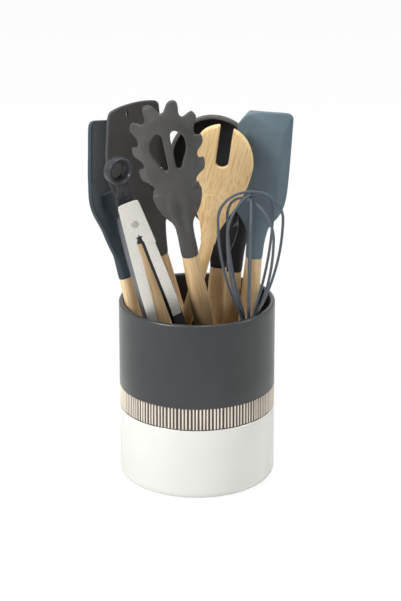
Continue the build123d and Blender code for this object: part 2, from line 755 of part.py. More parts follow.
wire_start = (whisk_wire_foot_radius, wire_foot + resting_gap)
for loop in range(whisk_loop_count):
    loop_apex = whisk_apex_height - loop * whisk_loop_step
    right = loop_half(loop_apex)
    left = [(-out, height) for out, height in reversed(right)]
    with BuildPart() as wire:
        with BuildLine(Plane.XZ) as loop_path:
            Line(wire_start, right[0])
            ThreePointArc(right[0], right[1], right[2])
            ThreePointArc(right[2], right[3], right[4])
            ThreePointArc(right[4], (0, loop_apex), left[0])
            ThreePointArc(left[0], left[1], left[2])
            ThreePointArc(left[2], left[3], left[4])
            Line(left[4], (-wire_start[0], wire_start[1]))
        with BuildSketch(Plane(origin=(wire_start[0], 0, wire_start[1]), z_dir=(0, 0, 1))):
            Circle(whisk_wire_radius)
        sweep(path=loop_path.line)
    loop_plane = Plane(whisk_plane.location * Rot(0, 0, 180 * loop / whisk_loop_count))
    save(wire.part, loop_plane, f"whisk_loop_{loop + 1}")

# Tongs: each arm is folded from sheet, seen here with its pin at the origin
ear_half_foot = tongs_ear_reach - tongs_ear_foot * sin(radians(tongs_left_angle))


def tongs_arm(outer_half_depth, side):
    """Channel arm that hangs below the pin; side is -1 for the left arm, 1 for the right."""
    with BuildPart() as arm:
        with BuildSketch(Plane.XZ) as flange:
            with BuildLine():
                Polyline(
                    (side * tongs_web_offset, tongs_ear_top),
                    (-side * tongs_ear_reach, tongs_ear_top),
                    (-side * tongs_ear_reach, 0),
                    (-side * ear_half_foot, -tongs_ear_foot * tongs_ear_taper_share),
                    (side * (tongs_web_offset - tongs_flange_width), -tongs_ear_foot),
                    (side * (tongs_web_offset - tongs_flange_width), -tongs_arm_length),
                    (side * tongs_web_offset, -tongs_arm_length),
                    close=True,
                )
            make_face()
            fillet(flange.vertices().group_by(Axis.Y)[-1], tongs_ear_round)
        extrude(amount=outer_half_depth, both=True)
        with BuildSketch(Plane.XZ):
            with Locations((side * (tongs_web_offset - tongs_sheet), -tongs_arm_length)):
                Rectangle(
                    2 * (tongs_web_offset + tongs_ear_reach),
                    2 * (tongs_arm_length + tongs_ear_top),
                    align=(Align.MAX if side > 0 else Align.MIN, Align.CENTER),
                )
        extrude(amount=outer_half_depth - tongs_sheet, both=True, mode=Mode.SUBTRACT)
        with BuildSketch(Plane.XZ):
            Circle(tongs_pin_radius + running_gap / 2)
        extrude(amount=outer_half_depth + cut_overrun, both=True, mode=Mode.SUBTRACT)
    return arm.part


def tongs_tip(outer_half_depth, side):
    """Moulded tip that sleeves the arm's end and widens to a scalloped paddle."""
    pad = tongs_tip_wall
    web = tongs_web_offset + pad
    inner = tongs_web_offset - tongs_flange_width - running_gap
    with BuildPart() as tip:
        with BuildSketch(Plane.XZ):
            with BuildLine():
                Polyline(
                    (side * web, -tongs_sleeve_start),
                    (side * inner, -tongs_sleeve_start - pad),
                    (side * inner, -tongs_arm_length - pad),
                    (side * (inner + pad), -tongs_tip_end * tongs_tip_bend_share),
                    (side * inner / 2, -tongs_tip_end),
                    (side * (inner / 2 + tongs_tip_thickness / 2), -tongs_tip_end),
                    (side * (inner + pad + tongs_tip_thickness), -tongs_tip_end * tongs_tip_bend_share),
                    (side * web, -tongs_arm_length - tongs_taper_length),
                    close=True,
                )
            make_face()
        extrude(amount=tongs_tip_half_width, both=True)
        with BuildSketch(Plane.YZ):
            half = outer_half_depth + pad
            with BuildLine():
                Line((-half, -tongs_sleeve_start), (half, -tongs_sleeve_start))
                Line((half, -tongs_sleeve_start), (half, -tongs_arm_length))
                right = Spline(
                    (half, -tongs_arm_length),
                    (tongs_tip_half_waist, -tongs_tip_end * tongs_tip_waist_share),
                    (tongs_tip_half_width, -tongs_tip_end * tongs_tip_belly_share),
                    (tongs_tip_half_width * tongs_tip_end_share, -tongs_tip_end),
                    tangents=((0, -1), (0, -1)),
                )
                mirror(right, about=Plane.YZ)
                Line((-half, -tongs_sleeve_start), (-half, -tongs_arm_length))
                Line(right @ 1, (-(right @ 1).X, (right @ 1).Y))
            make_face()
            scallop = 2 * tongs_tip_half_width * tongs_tip_end_share / tongs_tip_scallops
            with Locations((0, -tongs_tip_end)):
                with GridLocations(scallop, 1, tongs_tip_scallops - 1, 1):
                    Circle(scallop * tongs_scallop_share, mode=Mode.SUBTRACT)
        extrude(amount=tongs_web_offset + cut_overrun, both=True, mode=Mode.INTERSECT)
        socket_top = -tongs_sleeve_start + cut_overrun
        socket_foot = -tongs_arm_length
        with BuildSketch(Plane.XZ):
            with Locations((side * (tongs_web_offset + fit_gap), socket_top)):
                Rectangle(
                    tongs_flange_width + running_gap + fit_gap + pad,
                    socket_top - socket_foot,
                    align=(Align.MAX if side > 0 else Align.MIN, Align.MAX),
                )
        extrude(amount=outer_half_depth + fit_gap, both=True, mode=Mode.SUBTRACT)
    return tip.part


tongs_frame = upright_plane(tongs_stand_shares, tongs_rim_shares, tongs_turn, resting_gap)
pin_place = Pos(tongs_pin_offset, 0, tongs_pin_height)
pin_plane = Plane(tongs_frame.location * pin_place)
left_plane = Plane(pin_plane.location * Rot(0, tongs_left_angle, 0))
right_plane = Plane(pin_plane.location * Rot(0, -tongs_right_angle, 0))
left_half_depth = tongs_depth / 2
right_half_depth = left_half_depth - tongs_sheet - running_gap
save(tongs_arm(left_half_depth, -1), left_plane, "tongs_left_arm")
save(tongs_arm(right_half_depth, 1), right_plane, "tongs_right_arm")
save(tongs_tip(left_half_depth, -1), left_plane, "tongs_left_tip")
save(tongs_tip(right_half_depth, 1), right_plane, "tongs_right_tip")

with BuildPart() as tongs_pin:
    with BuildSketch(Plane.XZ):
        Circle(tongs_pin_radius)
    extrude(amount=left_half_depth, both=True)
    for head_side in (-1, 1):
        with BuildSketch(Plane.XZ.offset(head_side * left_half_depth)):
            Circle(tongs_pin_head_radius)
        extrude(amount=head_side * tongs_pin_head_height)
    head_edges = tongs_pin.edges().filter_by(GeomType.CIRCLE).group_by(Axis.Y)
    fillet(head_edges[0] + head_edges[-1], tongs_pin_head_height * tongs_head_round_share)
save(tongs_pin.part, pin_plane, "tongs_pin")

spring_height = tongs_spring_turns * tongs_spring_pitch
spring_start = pull_thickness / 2 + running_gap + tongs_spring_wire_radius
with BuildPart() as tongs_spring:
    with BuildLine():
        coil = Helix(tongs_spring_pitch, spring_height, tongs_spring_radius)
    with BuildSketch(Plane(origin=coil @ 0, z_dir=coil % 0)):
        Circle(tongs_spring_wire_radius)
    sweep()
    for coil_end, splay in zip((coil @ 0, coil @ 1), tongs_spring_splays):
        with Locations(coil_end):
            Sphere(tongs_spring_wire_radius * tongs_spring_knob_share)
            Cylinder(tongs_spring_wire_radius, tongs_spring_leg, rotation=(-90, splay, 0), align=standing)
spring_plane = Plane(pin_plane.location * Pos(0, spring_start, 0) * Rot(-90, 0, 0))
save(tongs_spring.part, spring_plane, "tongs_spring")

# Pull: a tang that slides on the pin, with a round eye on top
eye_plane = Plane(Pos(0, 0, pull_ring_height) * Rot(0, 0, pull_ring_turn) * Rot(90, 0, 0))
with BuildPart() as pull_eye:
    with BuildSketch(eye_plane):
        Circle(pull_ring_radius)
    extrude(amount=pull_ring_depth / 2, both=True)
    fillet(pull_eye.edges().filter_by(GeomType.CIRCLE), pull_ring_depth * pull_ring_round_share)
pull_shoulder_half_width = pull_half_width * pull_shoulder_share
pull_ring_root = pull_ring_height - pull_ring_radius * pull_ring_root_share
with BuildPart() as tongs_pull:
    with BuildSketch(Plane.XZ) as tang:
        with BuildLine():
            Polyline(
                (-pull_foot_half_width, -pull_foot_height),
                (pull_foot_half_width, -pull_foot_height),
                (pull_half_width, tongs_ear_top),
                (pull_shoulder_half_width, pull_ring_root),
                (-pull_shoulder_half_width, pull_ring_root),
                (-pull_half_width, tongs_ear_top),
                close=True,
            )
        make_face()
        fillet(tang.vertices().group_by(Axis.Y)[0], pull_foot_half_width * pull_foot_round_share)
        pin_run = pull_travel + 2 * (tongs_pin_radius + running_gap)
        with Locations((0, tongs_pin_radius + running_gap)):
            SlotOverall(
                pin_run,
                2 * (tongs_pin_radius + running_gap),
                rotation=90,
                align=(Align.MAX, Align.CENTER),
                mode=Mode.SUBTRACT,
            )
        with Locations((0, pull_slot_height)):
            SlotOverall(pull_slot_length, 2 * pull_slot_half_width, rotation=90, mode=Mode.SUBTRACT)
    extrude(amount=pull_thickness / 2, both=True)
    add(pull_eye.part)
    with BuildSketch(eye_plane):
        Circle(pull_bore_radius)
    extrude(amount=pull_ring_depth, both=True, mode=Mode.SUBTRACT)
pull_plane = Plane(pin_plane.location * Rot(0, pull_lean, 0))
save(tongs_pull.part, pull_plane, "tongs_pull")
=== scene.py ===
"""Utensil crock with its set of tools, dressed for rendering."""

import json
import logging
from dataclasses import dataclass
from enum import IntEnum
from math import cos, hypot, pi, radians, sin
from typing import Callable, Sequence, TypeVar

import bmesh
import bpy
from mathutils import Matrix, Vector

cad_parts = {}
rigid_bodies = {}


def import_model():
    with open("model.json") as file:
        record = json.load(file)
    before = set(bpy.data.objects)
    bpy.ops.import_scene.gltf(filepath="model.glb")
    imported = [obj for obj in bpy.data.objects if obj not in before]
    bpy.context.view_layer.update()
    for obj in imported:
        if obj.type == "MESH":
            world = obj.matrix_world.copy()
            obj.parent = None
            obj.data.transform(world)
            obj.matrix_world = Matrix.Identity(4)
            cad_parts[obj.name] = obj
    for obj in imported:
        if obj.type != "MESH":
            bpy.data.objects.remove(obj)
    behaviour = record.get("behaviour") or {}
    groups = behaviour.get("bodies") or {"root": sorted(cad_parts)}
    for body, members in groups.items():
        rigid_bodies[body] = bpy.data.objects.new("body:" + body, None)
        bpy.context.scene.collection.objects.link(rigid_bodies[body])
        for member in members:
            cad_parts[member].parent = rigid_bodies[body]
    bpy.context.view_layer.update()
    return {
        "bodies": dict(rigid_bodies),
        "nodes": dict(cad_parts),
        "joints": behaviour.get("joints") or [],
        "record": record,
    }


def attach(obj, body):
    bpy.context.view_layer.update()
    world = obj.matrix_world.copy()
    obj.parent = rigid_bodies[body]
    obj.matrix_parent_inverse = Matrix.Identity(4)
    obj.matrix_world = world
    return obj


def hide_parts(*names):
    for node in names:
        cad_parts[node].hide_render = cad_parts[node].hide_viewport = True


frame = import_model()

LOG = logging.getLogger("crock")
MM = 0.001
INNER_RADIUS = 60.0
FLOOR_HEIGHT = 6.0
RIM_HEIGHT = 152.3
RESTING_GAP = 0.3
FACING_TILT = radians(20.5)
SHOWN_SIDE = Vector((0.0, -cos(FACING_TILT), sin(FACING_TILT)))
FALL_OFF = 2.718
MESH_WELD = 0.000002
PLATE_WELD = 0.000003
CUT_WELD = 0.000001

Material = bpy.types.Material
Object = bpy.types.Object
Node = bpy.types.Node
Ring = list[Vector]
Faces = list[list[int]]
Outline = Sequence[tuple[float, float]]
Colour = tuple[float, float, float]
Value = TypeVar("Value", float, Vector)


def linear(red: float, green: float, blue: float) -> tuple[float, float, float, float]:
    """Turn a colour as seen on screen into the renderer's linear values.

    Args:
        red, green, blue: parts of the colour from 0 to 255.

    Returns:
        Linear red, green, blue and full opacity.
    """

    def one(value: float) -> float:
        """Linear value of one part."""
        share = value / 255.0
        return share / 12.92 if share <= 0.04045 else ((share + 0.055) / 1.055) ** 2.4

    return (one(red), one(green), one(blue), 1.0)


def linked(name: str, data: bpy.types.ID) -> Object:
    """Make an object and link it to the scene.

    Args:
        name: the object's name.
        data: its mesh, curve, light or camera.

    Returns:
        The new object.
    """
    obj = bpy.data.objects.new(name, data)
    bpy.context.scene.collection.objects.link(obj)
    return obj


class Zone(IntEnum):
    """Parts of the crock's surface, numbered as its material slots."""

    GLAZE = 0
    INSIDE = 1
    GROOVE = 2
    FOOT = 3
    BAR = 4


class NodeSheet:
    """Lays out the nodes of one material or world."""

    def __init__(self, owner: Material | bpy.types.World) -> None:
        """Empty the owner's node tree.

        Args:
            owner: the material or world that the nodes belong to.
        """
        owner.use_nodes = True
        self.tree = owner.node_tree
        self.tree.nodes.clear()

    def add(self, kind: str, inputs: dict[str | int, object] | None = None, **values: object) -> Node:
        """Add a node and set it up.

        Args:
            kind: Blender's name of the node type.
            inputs: names or numbers of its sockets, and their values.
            values: property names and values.

        Returns:
            The new node.
        """
        node = self.tree.nodes.new(kind)
        for key, value in values.items():
            setattr(node, key, value)
        for socket, value in (inputs or {}).items():
            node.inputs[socket].default_value = value
        return node

    def join(self, source: Node, out: str | int, target: Node, into: str | int) -> None:
        """Link one node's output to another's input."""
        self.tree.links.new(source.outputs[out], target.inputs[into])

    def show(self, share: Node, first: Node, second: Node, output: str) -> None:
        """Show a mix of two shaders.

        Args:
            share: node that gives the share of the second.
            first, second: the shaders.
            output: type of the output node.
        """
        mixer = self.add("ShaderNodeMixShader")
        self.join(share, 0, mixer, "Fac")
        self.join(first, 0, mixer, 1)
        self.join(second, 0, mixer, 2)
        self.join(mixer, 0, self.add(output), "Surface")


class FinishSheet(NodeSheet):
    """Lays out the nodes of one finish round a principled shader."""

    def __init__(self, name: str, frame: Matrix | None = None, **sockets: float) -> None:
        """Start the finish.

        Args:
            name: the material's name.
            frame: frame of the tool that the pattern runs along, where its mesh is in the scene's frame.
            sockets: values of the shader's sockets, with underscores for spaces.
        """
        self.material = bpy.data.materials.new(name)
        super().__init__(self.material)
        self.frame = frame
        uniform = {key.replace("_", " "): value for key, value in sockets.items()}
        self.shader = self.add("ShaderNodeBsdfPrincipled", uniform)
        self.join(self.shader, "BSDF", self.add("ShaderNodeOutputMaterial"), "Surface")

    def noise(
        self,
        scale: Sequence[float],
        detail: float,
        rough: float = 0.5,
        shift: Sequence[float] = (0.0, 0.0, 0.0),
        distortion: float = 0.0,
    ) -> Node:
        """Noise over the piece's own coordinates, turned into the tool's frame where one was given.

        Args:
            scale: stretch along each axis, per metre.
            detail: octaves of the noise.
            rough: how strong the finer octaves are.
            shift: start of the pattern.
            distortion: how far it is pulled about.

        Returns:
            The noise node.
        """
        source, out = self.add("ShaderNodeTexCoord"), "Object"
        if self.frame is not None:
            values = {"Location": self.frame.to_translation(), "Rotation": self.frame.to_euler()}
            turned = self.add("ShaderNodeMapping", values, vector_type="TEXTURE")
            self.join(source, out, turned, "Vector")
            source, out = turned, "Vector"
        mapping = self.add("ShaderNodeMapping", {"Scale": scale, "Location": shift})
        self.join(source, out, mapping, "Vector")
        values = {"Scale": 1.0, "Detail": detail, "Roughness": rough, "Distortion": distortion}
        node = self.add("ShaderNodeTexNoise", values)
        self.join(mapping, "Vector", node, "Vector")
        return node

    def ramp(self, source: Node, stops: Sequence[tuple[float, Colour]]) -> Node:
        """Colour ramp driven by a noise.

        Args:
            source: the noise.
            stops: place and screen colour of each stop.

        Returns:
            The ramp node, whose output is Color.
        """
        node = self.add("ShaderNodeValToRGB")
        elements = node.color_ramp.elements
        while len(elements) < len(stops):
            elements.new(0.5)
        for element, (place, colour) in zip(elements, stops):
            element.position = place
            element.color = linear(*colour)
        self.join(source, "Fac", node, "Fac")
        return node

    def cloud(self, source: Node, colour: Colour, variation: float) -> None:
        """Let the base colour wander round one colour.

        Args:
            source: the noise that it follows.
            colour: the colour on screen.
            variation: how far each part of it goes up and down.
        """
        darker = tuple(max(0.0, part - variation) for part in colour)
        lighter = tuple(min(255.0, part + variation) for part in colour)
        self.join(self.ramp(source, ((0.3, darker), (0.7, lighter))), "Color", self.shader, "Base Color")

    def gloss(self, source: Node, low: float, high: float) -> None:
        """Let the roughness follow a noise between two values."""
        node = self.add("ShaderNodeMapRange", {"To Min": low, "To Max": high})
        self.join(source, "Fac", node, "Value")
        self.join(node, "Result", self.shader, "Roughness")

    def bump(self, height: Node, strength: float, distance: float) -> None:
        """Let the surface follow a noise.

        Args:
            height: the noise.
            strength: share of the bump.
            distance: depth in metres.
        """
        node = self.add("ShaderNodeBump", {"Strength": strength, "Distance": distance})
        self.join(height, "Fac", node, "Height")
        self.join(node, "Normal", self.shader, "Normal")


@dataclass(frozen=True)
class Moulded:
    """Matt silicone or nylon with soft tone changes and a fine moulded skin."""

    name: str
    colour: Colour
    roughness: float = 0.5
    skin_depth: float = 0.00004
    variation: float = 7.0
    sheen: float = 0.2

    def build(self) -> Material:
        """Make the material.

        Returns:
            The material.
        """
        sheet = FinishSheet(self.name, Specular_IOR_Level=self.sheen)
        cloud = sheet.noise((38.0, 38.0, 30.0), 3.0)
        sheet.cloud(cloud, self.colour, self.variation)
        sheet.gloss(cloud, self.roughness - 0.05, self.roughness + 0.06)
        sheet.bump(sheet.noise((3200.0, 3200.0, 3200.0), 2.0), 0.35, self.skin_depth)
        return sheet.material


@dataclass(frozen=True)
class Bamboo:
    """Oiled bamboo with long fibres, broad tone bands and fine pores that run along the piece."""

    name: str
    light: Colour
    middle: Colour
    dark: Colour
    seed: float = 0.0
    pores: Colour = (176, 138, 96)
    pore_share: float = 0.42

    def build(self, frame: Matrix) -> Material:
        """Make the material.

        Args:
            frame: frame of the tool that the fibres run along.

        Returns:
            The material.
        """
        sheet = FinishSheet(self.name, frame, Specular_IOR_Level=0.35)
        shift = (self.seed, self.seed * 1.7, self.seed * 0.3)
        broad = sheet.noise((190.0, 190.0, 7.0), 4.0, 0.5, shift, 0.25)
        fine = sheet.noise((1500.0, 1500.0, 26.0), 3.0, 0.5, shift, 0.25)
        tone = sheet.ramp(broad, ((0.28, self.dark), (0.5, self.middle), (0.72, self.light)))
        lines = sheet.ramp(fine, ((0.36, self.pores), (0.5, (255, 255, 255))))
        factor = {"Factor": self.pore_share}
        blend = sheet.add("ShaderNodeMix", factor, data_type="RGBA", blend_type="MULTIPLY")
        sheet.join(tone, "Color", blend, 6)
        sheet.join(lines, "Color", blend, 7)
        sheet.join(blend, 2, sheet.shader, "Base Color")
        sheet.gloss(fine, 0.42, 0.6)
        sheet.bump(fine, 0.3, 0.00006)
        return sheet.material


@dataclass(frozen=True)
class Glaze:
    """Fired glaze, matt or glossy, with cloudy tone and fine speckle."""

    name: str
    colour: Colour
    roughness: float
    variation: float
    coat: float = 0.0

    def build(self) -> Material:
        """Make the material.

        Returns:
            The material.
        """
        sheet = FinishSheet(self.name, Specular_IOR_Level=0.5, Coat_Weight=self.coat, Coat_Roughness=0.08)
        sheet.cloud(sheet.noise((26.0, 26.0, 18.0), 5.0, 0.6), self.colour, self.variation)
        fine = sheet.noise((900.0, 900.0, 900.0), 3.0)
        sheet.gloss(fine, self.roughness - 0.04, self.roughness + 0.05)
        sheet.bump(fine, 0.25, 0.00005)
        return sheet.material


@dataclass(frozen=True)
class BrushedSteel:
    """Stainless sheet whose roughness and height follow fine brush lines."""

    name: str
    roughness: float
    colour: Colour
    metallic: float = 0.8
    contrast: float = 12.0

    def build(self, frame: Matrix | None = None) -> Material:
        """Make the material.

        Args:
            frame: frame of the tool that the lines run along.

        Returns:
            The material.
        """
        sheet = FinishSheet(self.name, frame, Metallic=self.metallic)
        lines = sheet.noise((4200.0, 4200.0, 60.0), 3.0)
        sheet.cloud(lines, self.colour, self.contrast)
        sheet.gloss(lines, self.roughness - 0.06, self.roughness + 0.1)
        sheet.bump(lines, 0.25, 0.00003)
        return sheet.material


class Finishes:
    """All finishes of the set, built once."""

    def __init__(self) -> None:
        """Build every material."""
        self.charcoal_glaze = Glaze("charcoal_glaze", (46, 49, 51), 0.3, 5.0).build()
        self.inner_glaze = Glaze("inner_glaze", (40, 36, 34), 0.35, 5.0).build()
        self.white_glaze = Glaze("white_glaze", (231, 231, 226), 0.22, 2.0, 0.5).build()
        self.cream_bar = Glaze("cream_bar", (232, 222, 206), 0.45, 8.0).build()
        self.groove = Glaze("groove", (62, 60, 57), 0.55, 8.0).build()
        self.charcoal = Moulded("charcoal_silicone", (78, 77, 76), 0.38).build()
        # dark silicone: the tongs' tips' own colour, and a painted shade over the whole ladle and
        # serving-spoon bowls
        self.dark = Moulded("dark_silicone_and_bowl_shade", (46, 46, 48), 0.42, variation=5.0).build()
        # lighter copy of the bowls' silicone for their lips: a painted highlight where the lip catches the
        # light
        self.lip = Moulded("lip_silicone_painted_highlight", (108, 106, 105), 0.34).build()
        self.blue_grey = Moulded("blue_grey_silicone", (100, 117, 127), 0.36).build()
        # darker copy of the blue-grey silicone, used for the spoonula: a painted shade over its hollow
        # blade
        self.blue_grey_painted_shade = Moulded("blue_grey_silicone_painted_shade", (58, 69, 76), 0.36).build()
        self.wire = Moulded("coated_wire", (84, 92, 100), 0.36, variation=5.0).build()
        self.nylon = Moulded("dark_nylon", (58, 59, 64), 0.24, 0.00002, 4.0).build()
        # darker, less metallic steel for the tongs' backs and folded sides: painted shade and painted dark
        # reflection
        self.shaded_steel = BrushedSteel("steel_painted_shade", 0.42, (84, 84, 92), 0.5).build()

    @staticmethod
    def bamboo(number: int, frame: Matrix) -> Material:
        """Bamboo of one handle; each is cut from another stick.

        Args:
            number: which handle.
            frame: frame of the handle.

        Returns:
            The material.
        """
        dip = (number * 5) % 4
        light = (252 - 3 * dip, 230 - 4 * dip, 190 - 5 * dip)
        middle = (244 - 4 * dip, 214 - 5 * dip, 168 - 6 * dip)
        dark = (228 - 5 * dip, 187 - 6 * dip, 136 - 6 * dip)
        return Bamboo(f"handle_bamboo_{number}", light, middle, dark, 3.1 * number).build(frame)


def between(a: Value, b: Value, c: Value, d: Value, t: float) -> Value:
    """Value at share t of the way from b to c, on a smooth curve through four values."""
    square, cube = 2 * a - 5 * b + 4 * c - d, 3 * b - a - 3 * c + d
    return (2 * b + (c - a) * t + square * t**2 + cube * t**3) * 0.5


def within(value: float) -> float:
    """The value, kept between 0 and 1."""
    return min(1.0, max(0.0, value))


def mirrored(right: Outline) -> Outline:
    """Outline of a symmetrical piece from its right half, given from below up."""
    return (*right, *((-x, z) for x, z in reversed(right)))


class Form:
    """Mesh helpers shared by all the pieces. Lengths are in millimetres until a mesh is written."""

    @staticmethod
    def write(
        name: str,
        points: Sequence[Vector],
        faces: Faces,
        place: Matrix,
        materials: Sequence[Material],
        sharp: float = 40.0,
        marks: Sequence[int] = (),
    ) -> Object:
        """Make an object from points and faces.

        Args:
            name: the object's name.
            points: vertices in millimetres, in the piece's own frame.
            faces: indices of each face.
            place: the piece's frame in the scene, in metres.
            materials: the object's material slots.
            sharp: angle in degrees above which an edge stays crisp.
            marks: material number of each face, where they differ.

        Returns:
            The new object.
        """
        mesh = bpy.data.meshes.new(name)
        mesh.from_pydata([point * MM for point in points], [], faces)
        for material in materials:
            mesh.materials.append(material)
        if marks:
            mesh.polygons.foreach_set("material_index", marks)
        mesh.validate()
        obj = linked(name, mesh)
        obj.matrix_world = place
        Form.finish_mesh(obj, sharp)
        return obj

    @staticmethod
    def finish_mesh(obj: Object, sharp: float) -> None:
        """Weld a mesh, face it outwards and shade it smooth.

        Args:
            obj: the object.
            sharp: angle in degrees above which an edge stays crisp.
        """
        work = bmesh.new()
        work.from_mesh(obj.data)
        bmesh.ops.remove_doubles(work, verts=work.verts, dist=MESH_WELD)
        bmesh.ops.recalc_face_normals(work, faces=work.faces)
        limit = radians(sharp)
        for edge in work.edges:
            edge.smooth = not (len(edge.link_faces) == 2 and edge.calc_face_angle(0.0) > limit)
        for face in work.faces:
            face.smooth = True
        work.to_mesh(obj.data)
        work.free()

    @staticmethod
    def skin(rings: Sequence[Ring], close_ends: bool = True) -> tuple[list[Vector], Faces]:
        """Faces between rings of equal count.

        Args:
            rings: the rings, in order.
            close_ends: whether the first and last ring are capped.

        Returns:
            Points and faces.
        """
        count = len(rings[0])
        points = [point for ring in rings for point in ring]
        steps = [(column, (column + 1) % count) for column in range(count)]
        faces = [
            [row + a, row + b, row + b + count, row + a + count]
            for row in range(0, count * (len(rings) - 1), count)
            for a, b in steps
        ]
        if close_ends:
            last = count * (len(rings) - 1)
            points += [sum(ring, Vector()) / count for ring in (rings[0], rings[-1])]
            faces += [[b, a, last + count] for a, b in steps]
            faces += [[last + a, last + b, last + count + 1] for a, b in steps]
        return points, faces

    @staticmethod
    def curve_through(corners: Outline, closed: bool, steps: int) -> list[tuple[float, float]]:
        """Smooth curve through points in a plane.

        Args:
            corners: the points.
            closed: whether the curve closes on itself.
            steps: points on each span.

        Returns:
            Points of the curve.
        """
        count = len(corners)
        made: list[tuple[float, float]] = []
        for index in range(count if closed else count - 1):
            if closed:
                a, b, c, d = (corners[(index + shift) % count] for shift in (-1, 0, 1, 2))
            else:
                b, c = corners[index], corners[index + 1]
                a = corners[index - 1] if index else (2 * b[0] - c[0], 2 * b[1] - c[1])
                d = corners[index + 2] if index + 2 < count else (2 * c[0] - b[0], 2 * c[1] - b[1])
            for step in range(steps):
                made.append(tuple(between(*four, step / steps) for four in zip(a, b, c, d)))
        if not closed:
            made.append(tuple(corners[-1]))
        return made

    @staticmethod
    def dense(rings: Sequence[Ring], step: float) -> list[Ring]:
        """Rings set close together, smooth between the given ones.

        Args:
            rings: the given rings.
            step: largest gap between rings.

        Returns:
            The rings.
        """
        made: list[Ring] = []
        for index in range(len(rings) - 1):
            b, c = rings[index], rings[index + 1]
            a = rings[index - 1] if index else b
            d = rings[index + 2] if index + 2 < len(rings) else c
            parts = max(1, int(max((q - p).length for p, q in zip(b, c)) / step))
            for part in range(parts):
                made.append([between(*four, part / parts) for four in zip(a, b, c, d)])
        made.append(list(rings[-1]))
        return made

    @staticmethod
    def smooth_value(table: Outline, at: float) -> float:
        """Smooth monotone interpolation in a table of pairs.

        Args:
            table: rising places and their values.
            at: the place asked for.

        Returns:
            The value there.
        """
        if at <= table[0][0]:
            return table[0][1]
        if at >= table[-1][0]:
            return table[-1][1]
        slopes = [(b[1] - a[1]) / (b[0] - a[0]) for a, b in zip(table, table[1:])]
        index = max(i for i in range(len(table) - 1) if table[i][0] <= at)

        def tangent(knot: int) -> float:
            """Slope at a knot that keeps the curve from overshooting.

            Args:
                knot: which row of the table.

            Returns:
                The slope.
            """
            if knot == 0:
                return slopes[0]
            if knot == len(table) - 1:
                return slopes[-1]
            before, after = slopes[knot - 1], slopes[knot]
            return 0.0 if before * after <= 0 else 2 * before * after / (before + after)

        x0, y0 = table[index]
        x1, y1 = table[index + 1]
        span = x1 - x0
        t = (at - x0) / span
        return (
            (2 * t**3 - 3 * t**2 + 1) * y0
            + (t**3 - 2 * t**2 + t) * span * tangent(index)
            + (-2 * t**3 + 3 * t**2) * y1
            + (t**3 - t**2) * span * tangent(index + 1)
        )

    @staticmethod
    def round_ring(
        half_width: float,
        half_depth: float,
        height: float,
        power: float,
        count: int = 40,
        x: float = 0.0,
        y: float = 0.0,
    ) -> Ring:
        """Closed ring between an oval and a soft rectangle.

        Args:
            half_width, half_depth: half sizes along X and Y.
            height: place along Z.
            power: 2 for an oval, more for squarer.
            count: points on the ring.
            x, y: its centre.

        Returns:
            The ring's points.
        """
        ring: Ring = []
        for step in range(count):
            c, s = cos(2 * pi * step / count), sin(2 * pi * step / count)
            across = abs(c) ** (2 / power) * (1 if c >= 0 else -1)
            back = abs(s) ** (2 / power) * (1 if s >= 0 else -1)
            ring.append(Vector((x + half_width * across, y + half_depth * back, height)))
        return ring

    @staticmethod
    def join(main: Object, *others: Object) -> None:
        """Join objects into one.

        Args:
            main: the object that stays.
            others: the objects that go into it.
        """
        work = bmesh.new()
        work.from_mesh(main.data)
        for other in others:
            shift = main.matrix_world.inverted() @ other.matrix_world
            extra = other.data.copy()
            extra.transform(shift)
            work.from_mesh(extra)
            bpy.data.meshes.remove(extra)
            bpy.data.objects.remove(other)
        work.to_mesh(main.data)
        work.free()

    @staticmethod
    def fuse(obj: Object, voxel: float, passes: int) -> None:
        """Melt overlapping shells of one object into a single skin.

        Args:
            obj: the object.
            voxel: size of the melt in millimetres.
            passes: smoothing passes after it.
        """
        remesh = obj.modifiers.new("melt", "REMESH")
        remesh.mode = "VOXEL"
        remesh.voxel_size = voxel * MM
        remesh.use_smooth_shade = True
        smooth = obj.modifiers.new("soften", "CORRECTIVE_SMOOTH")
        smooth.iterations = passes
        smooth.factor = 0.5
        smooth.use_only_smooth = True
        graph = bpy.context.evaluated_depsgraph_get()
        baked = bpy.data.meshes.new_from_object(obj.evaluated_get(graph))
        old = obj.data
        obj.modifiers.clear()
        obj.data = baked
        bpy.data.meshes.remove(old)

    @staticmethod
    def grow_neck(
        head: Object,
        rings: Sequence[Ring],
        place: Matrix,
        voxel: float,
        passes: int,
        step: float = 3.0,
    ) -> None:
        """Add a smooth neck or stem to a head and melt them into one skin.

        Args:
            head: the head.
            rings: the neck's rings.
            place: the head's frame.
            voxel: size of the melt in millimetres.
            passes: smoothing passes after it.
            step: largest gap between the neck's rings.
        """
        points, faces = Form.skin(Form.dense(rings, step))
        Form.join(head, Form.write(f"{head.name}_neck", points, faces, place, []))
        Form.fuse(head, voxel, passes)

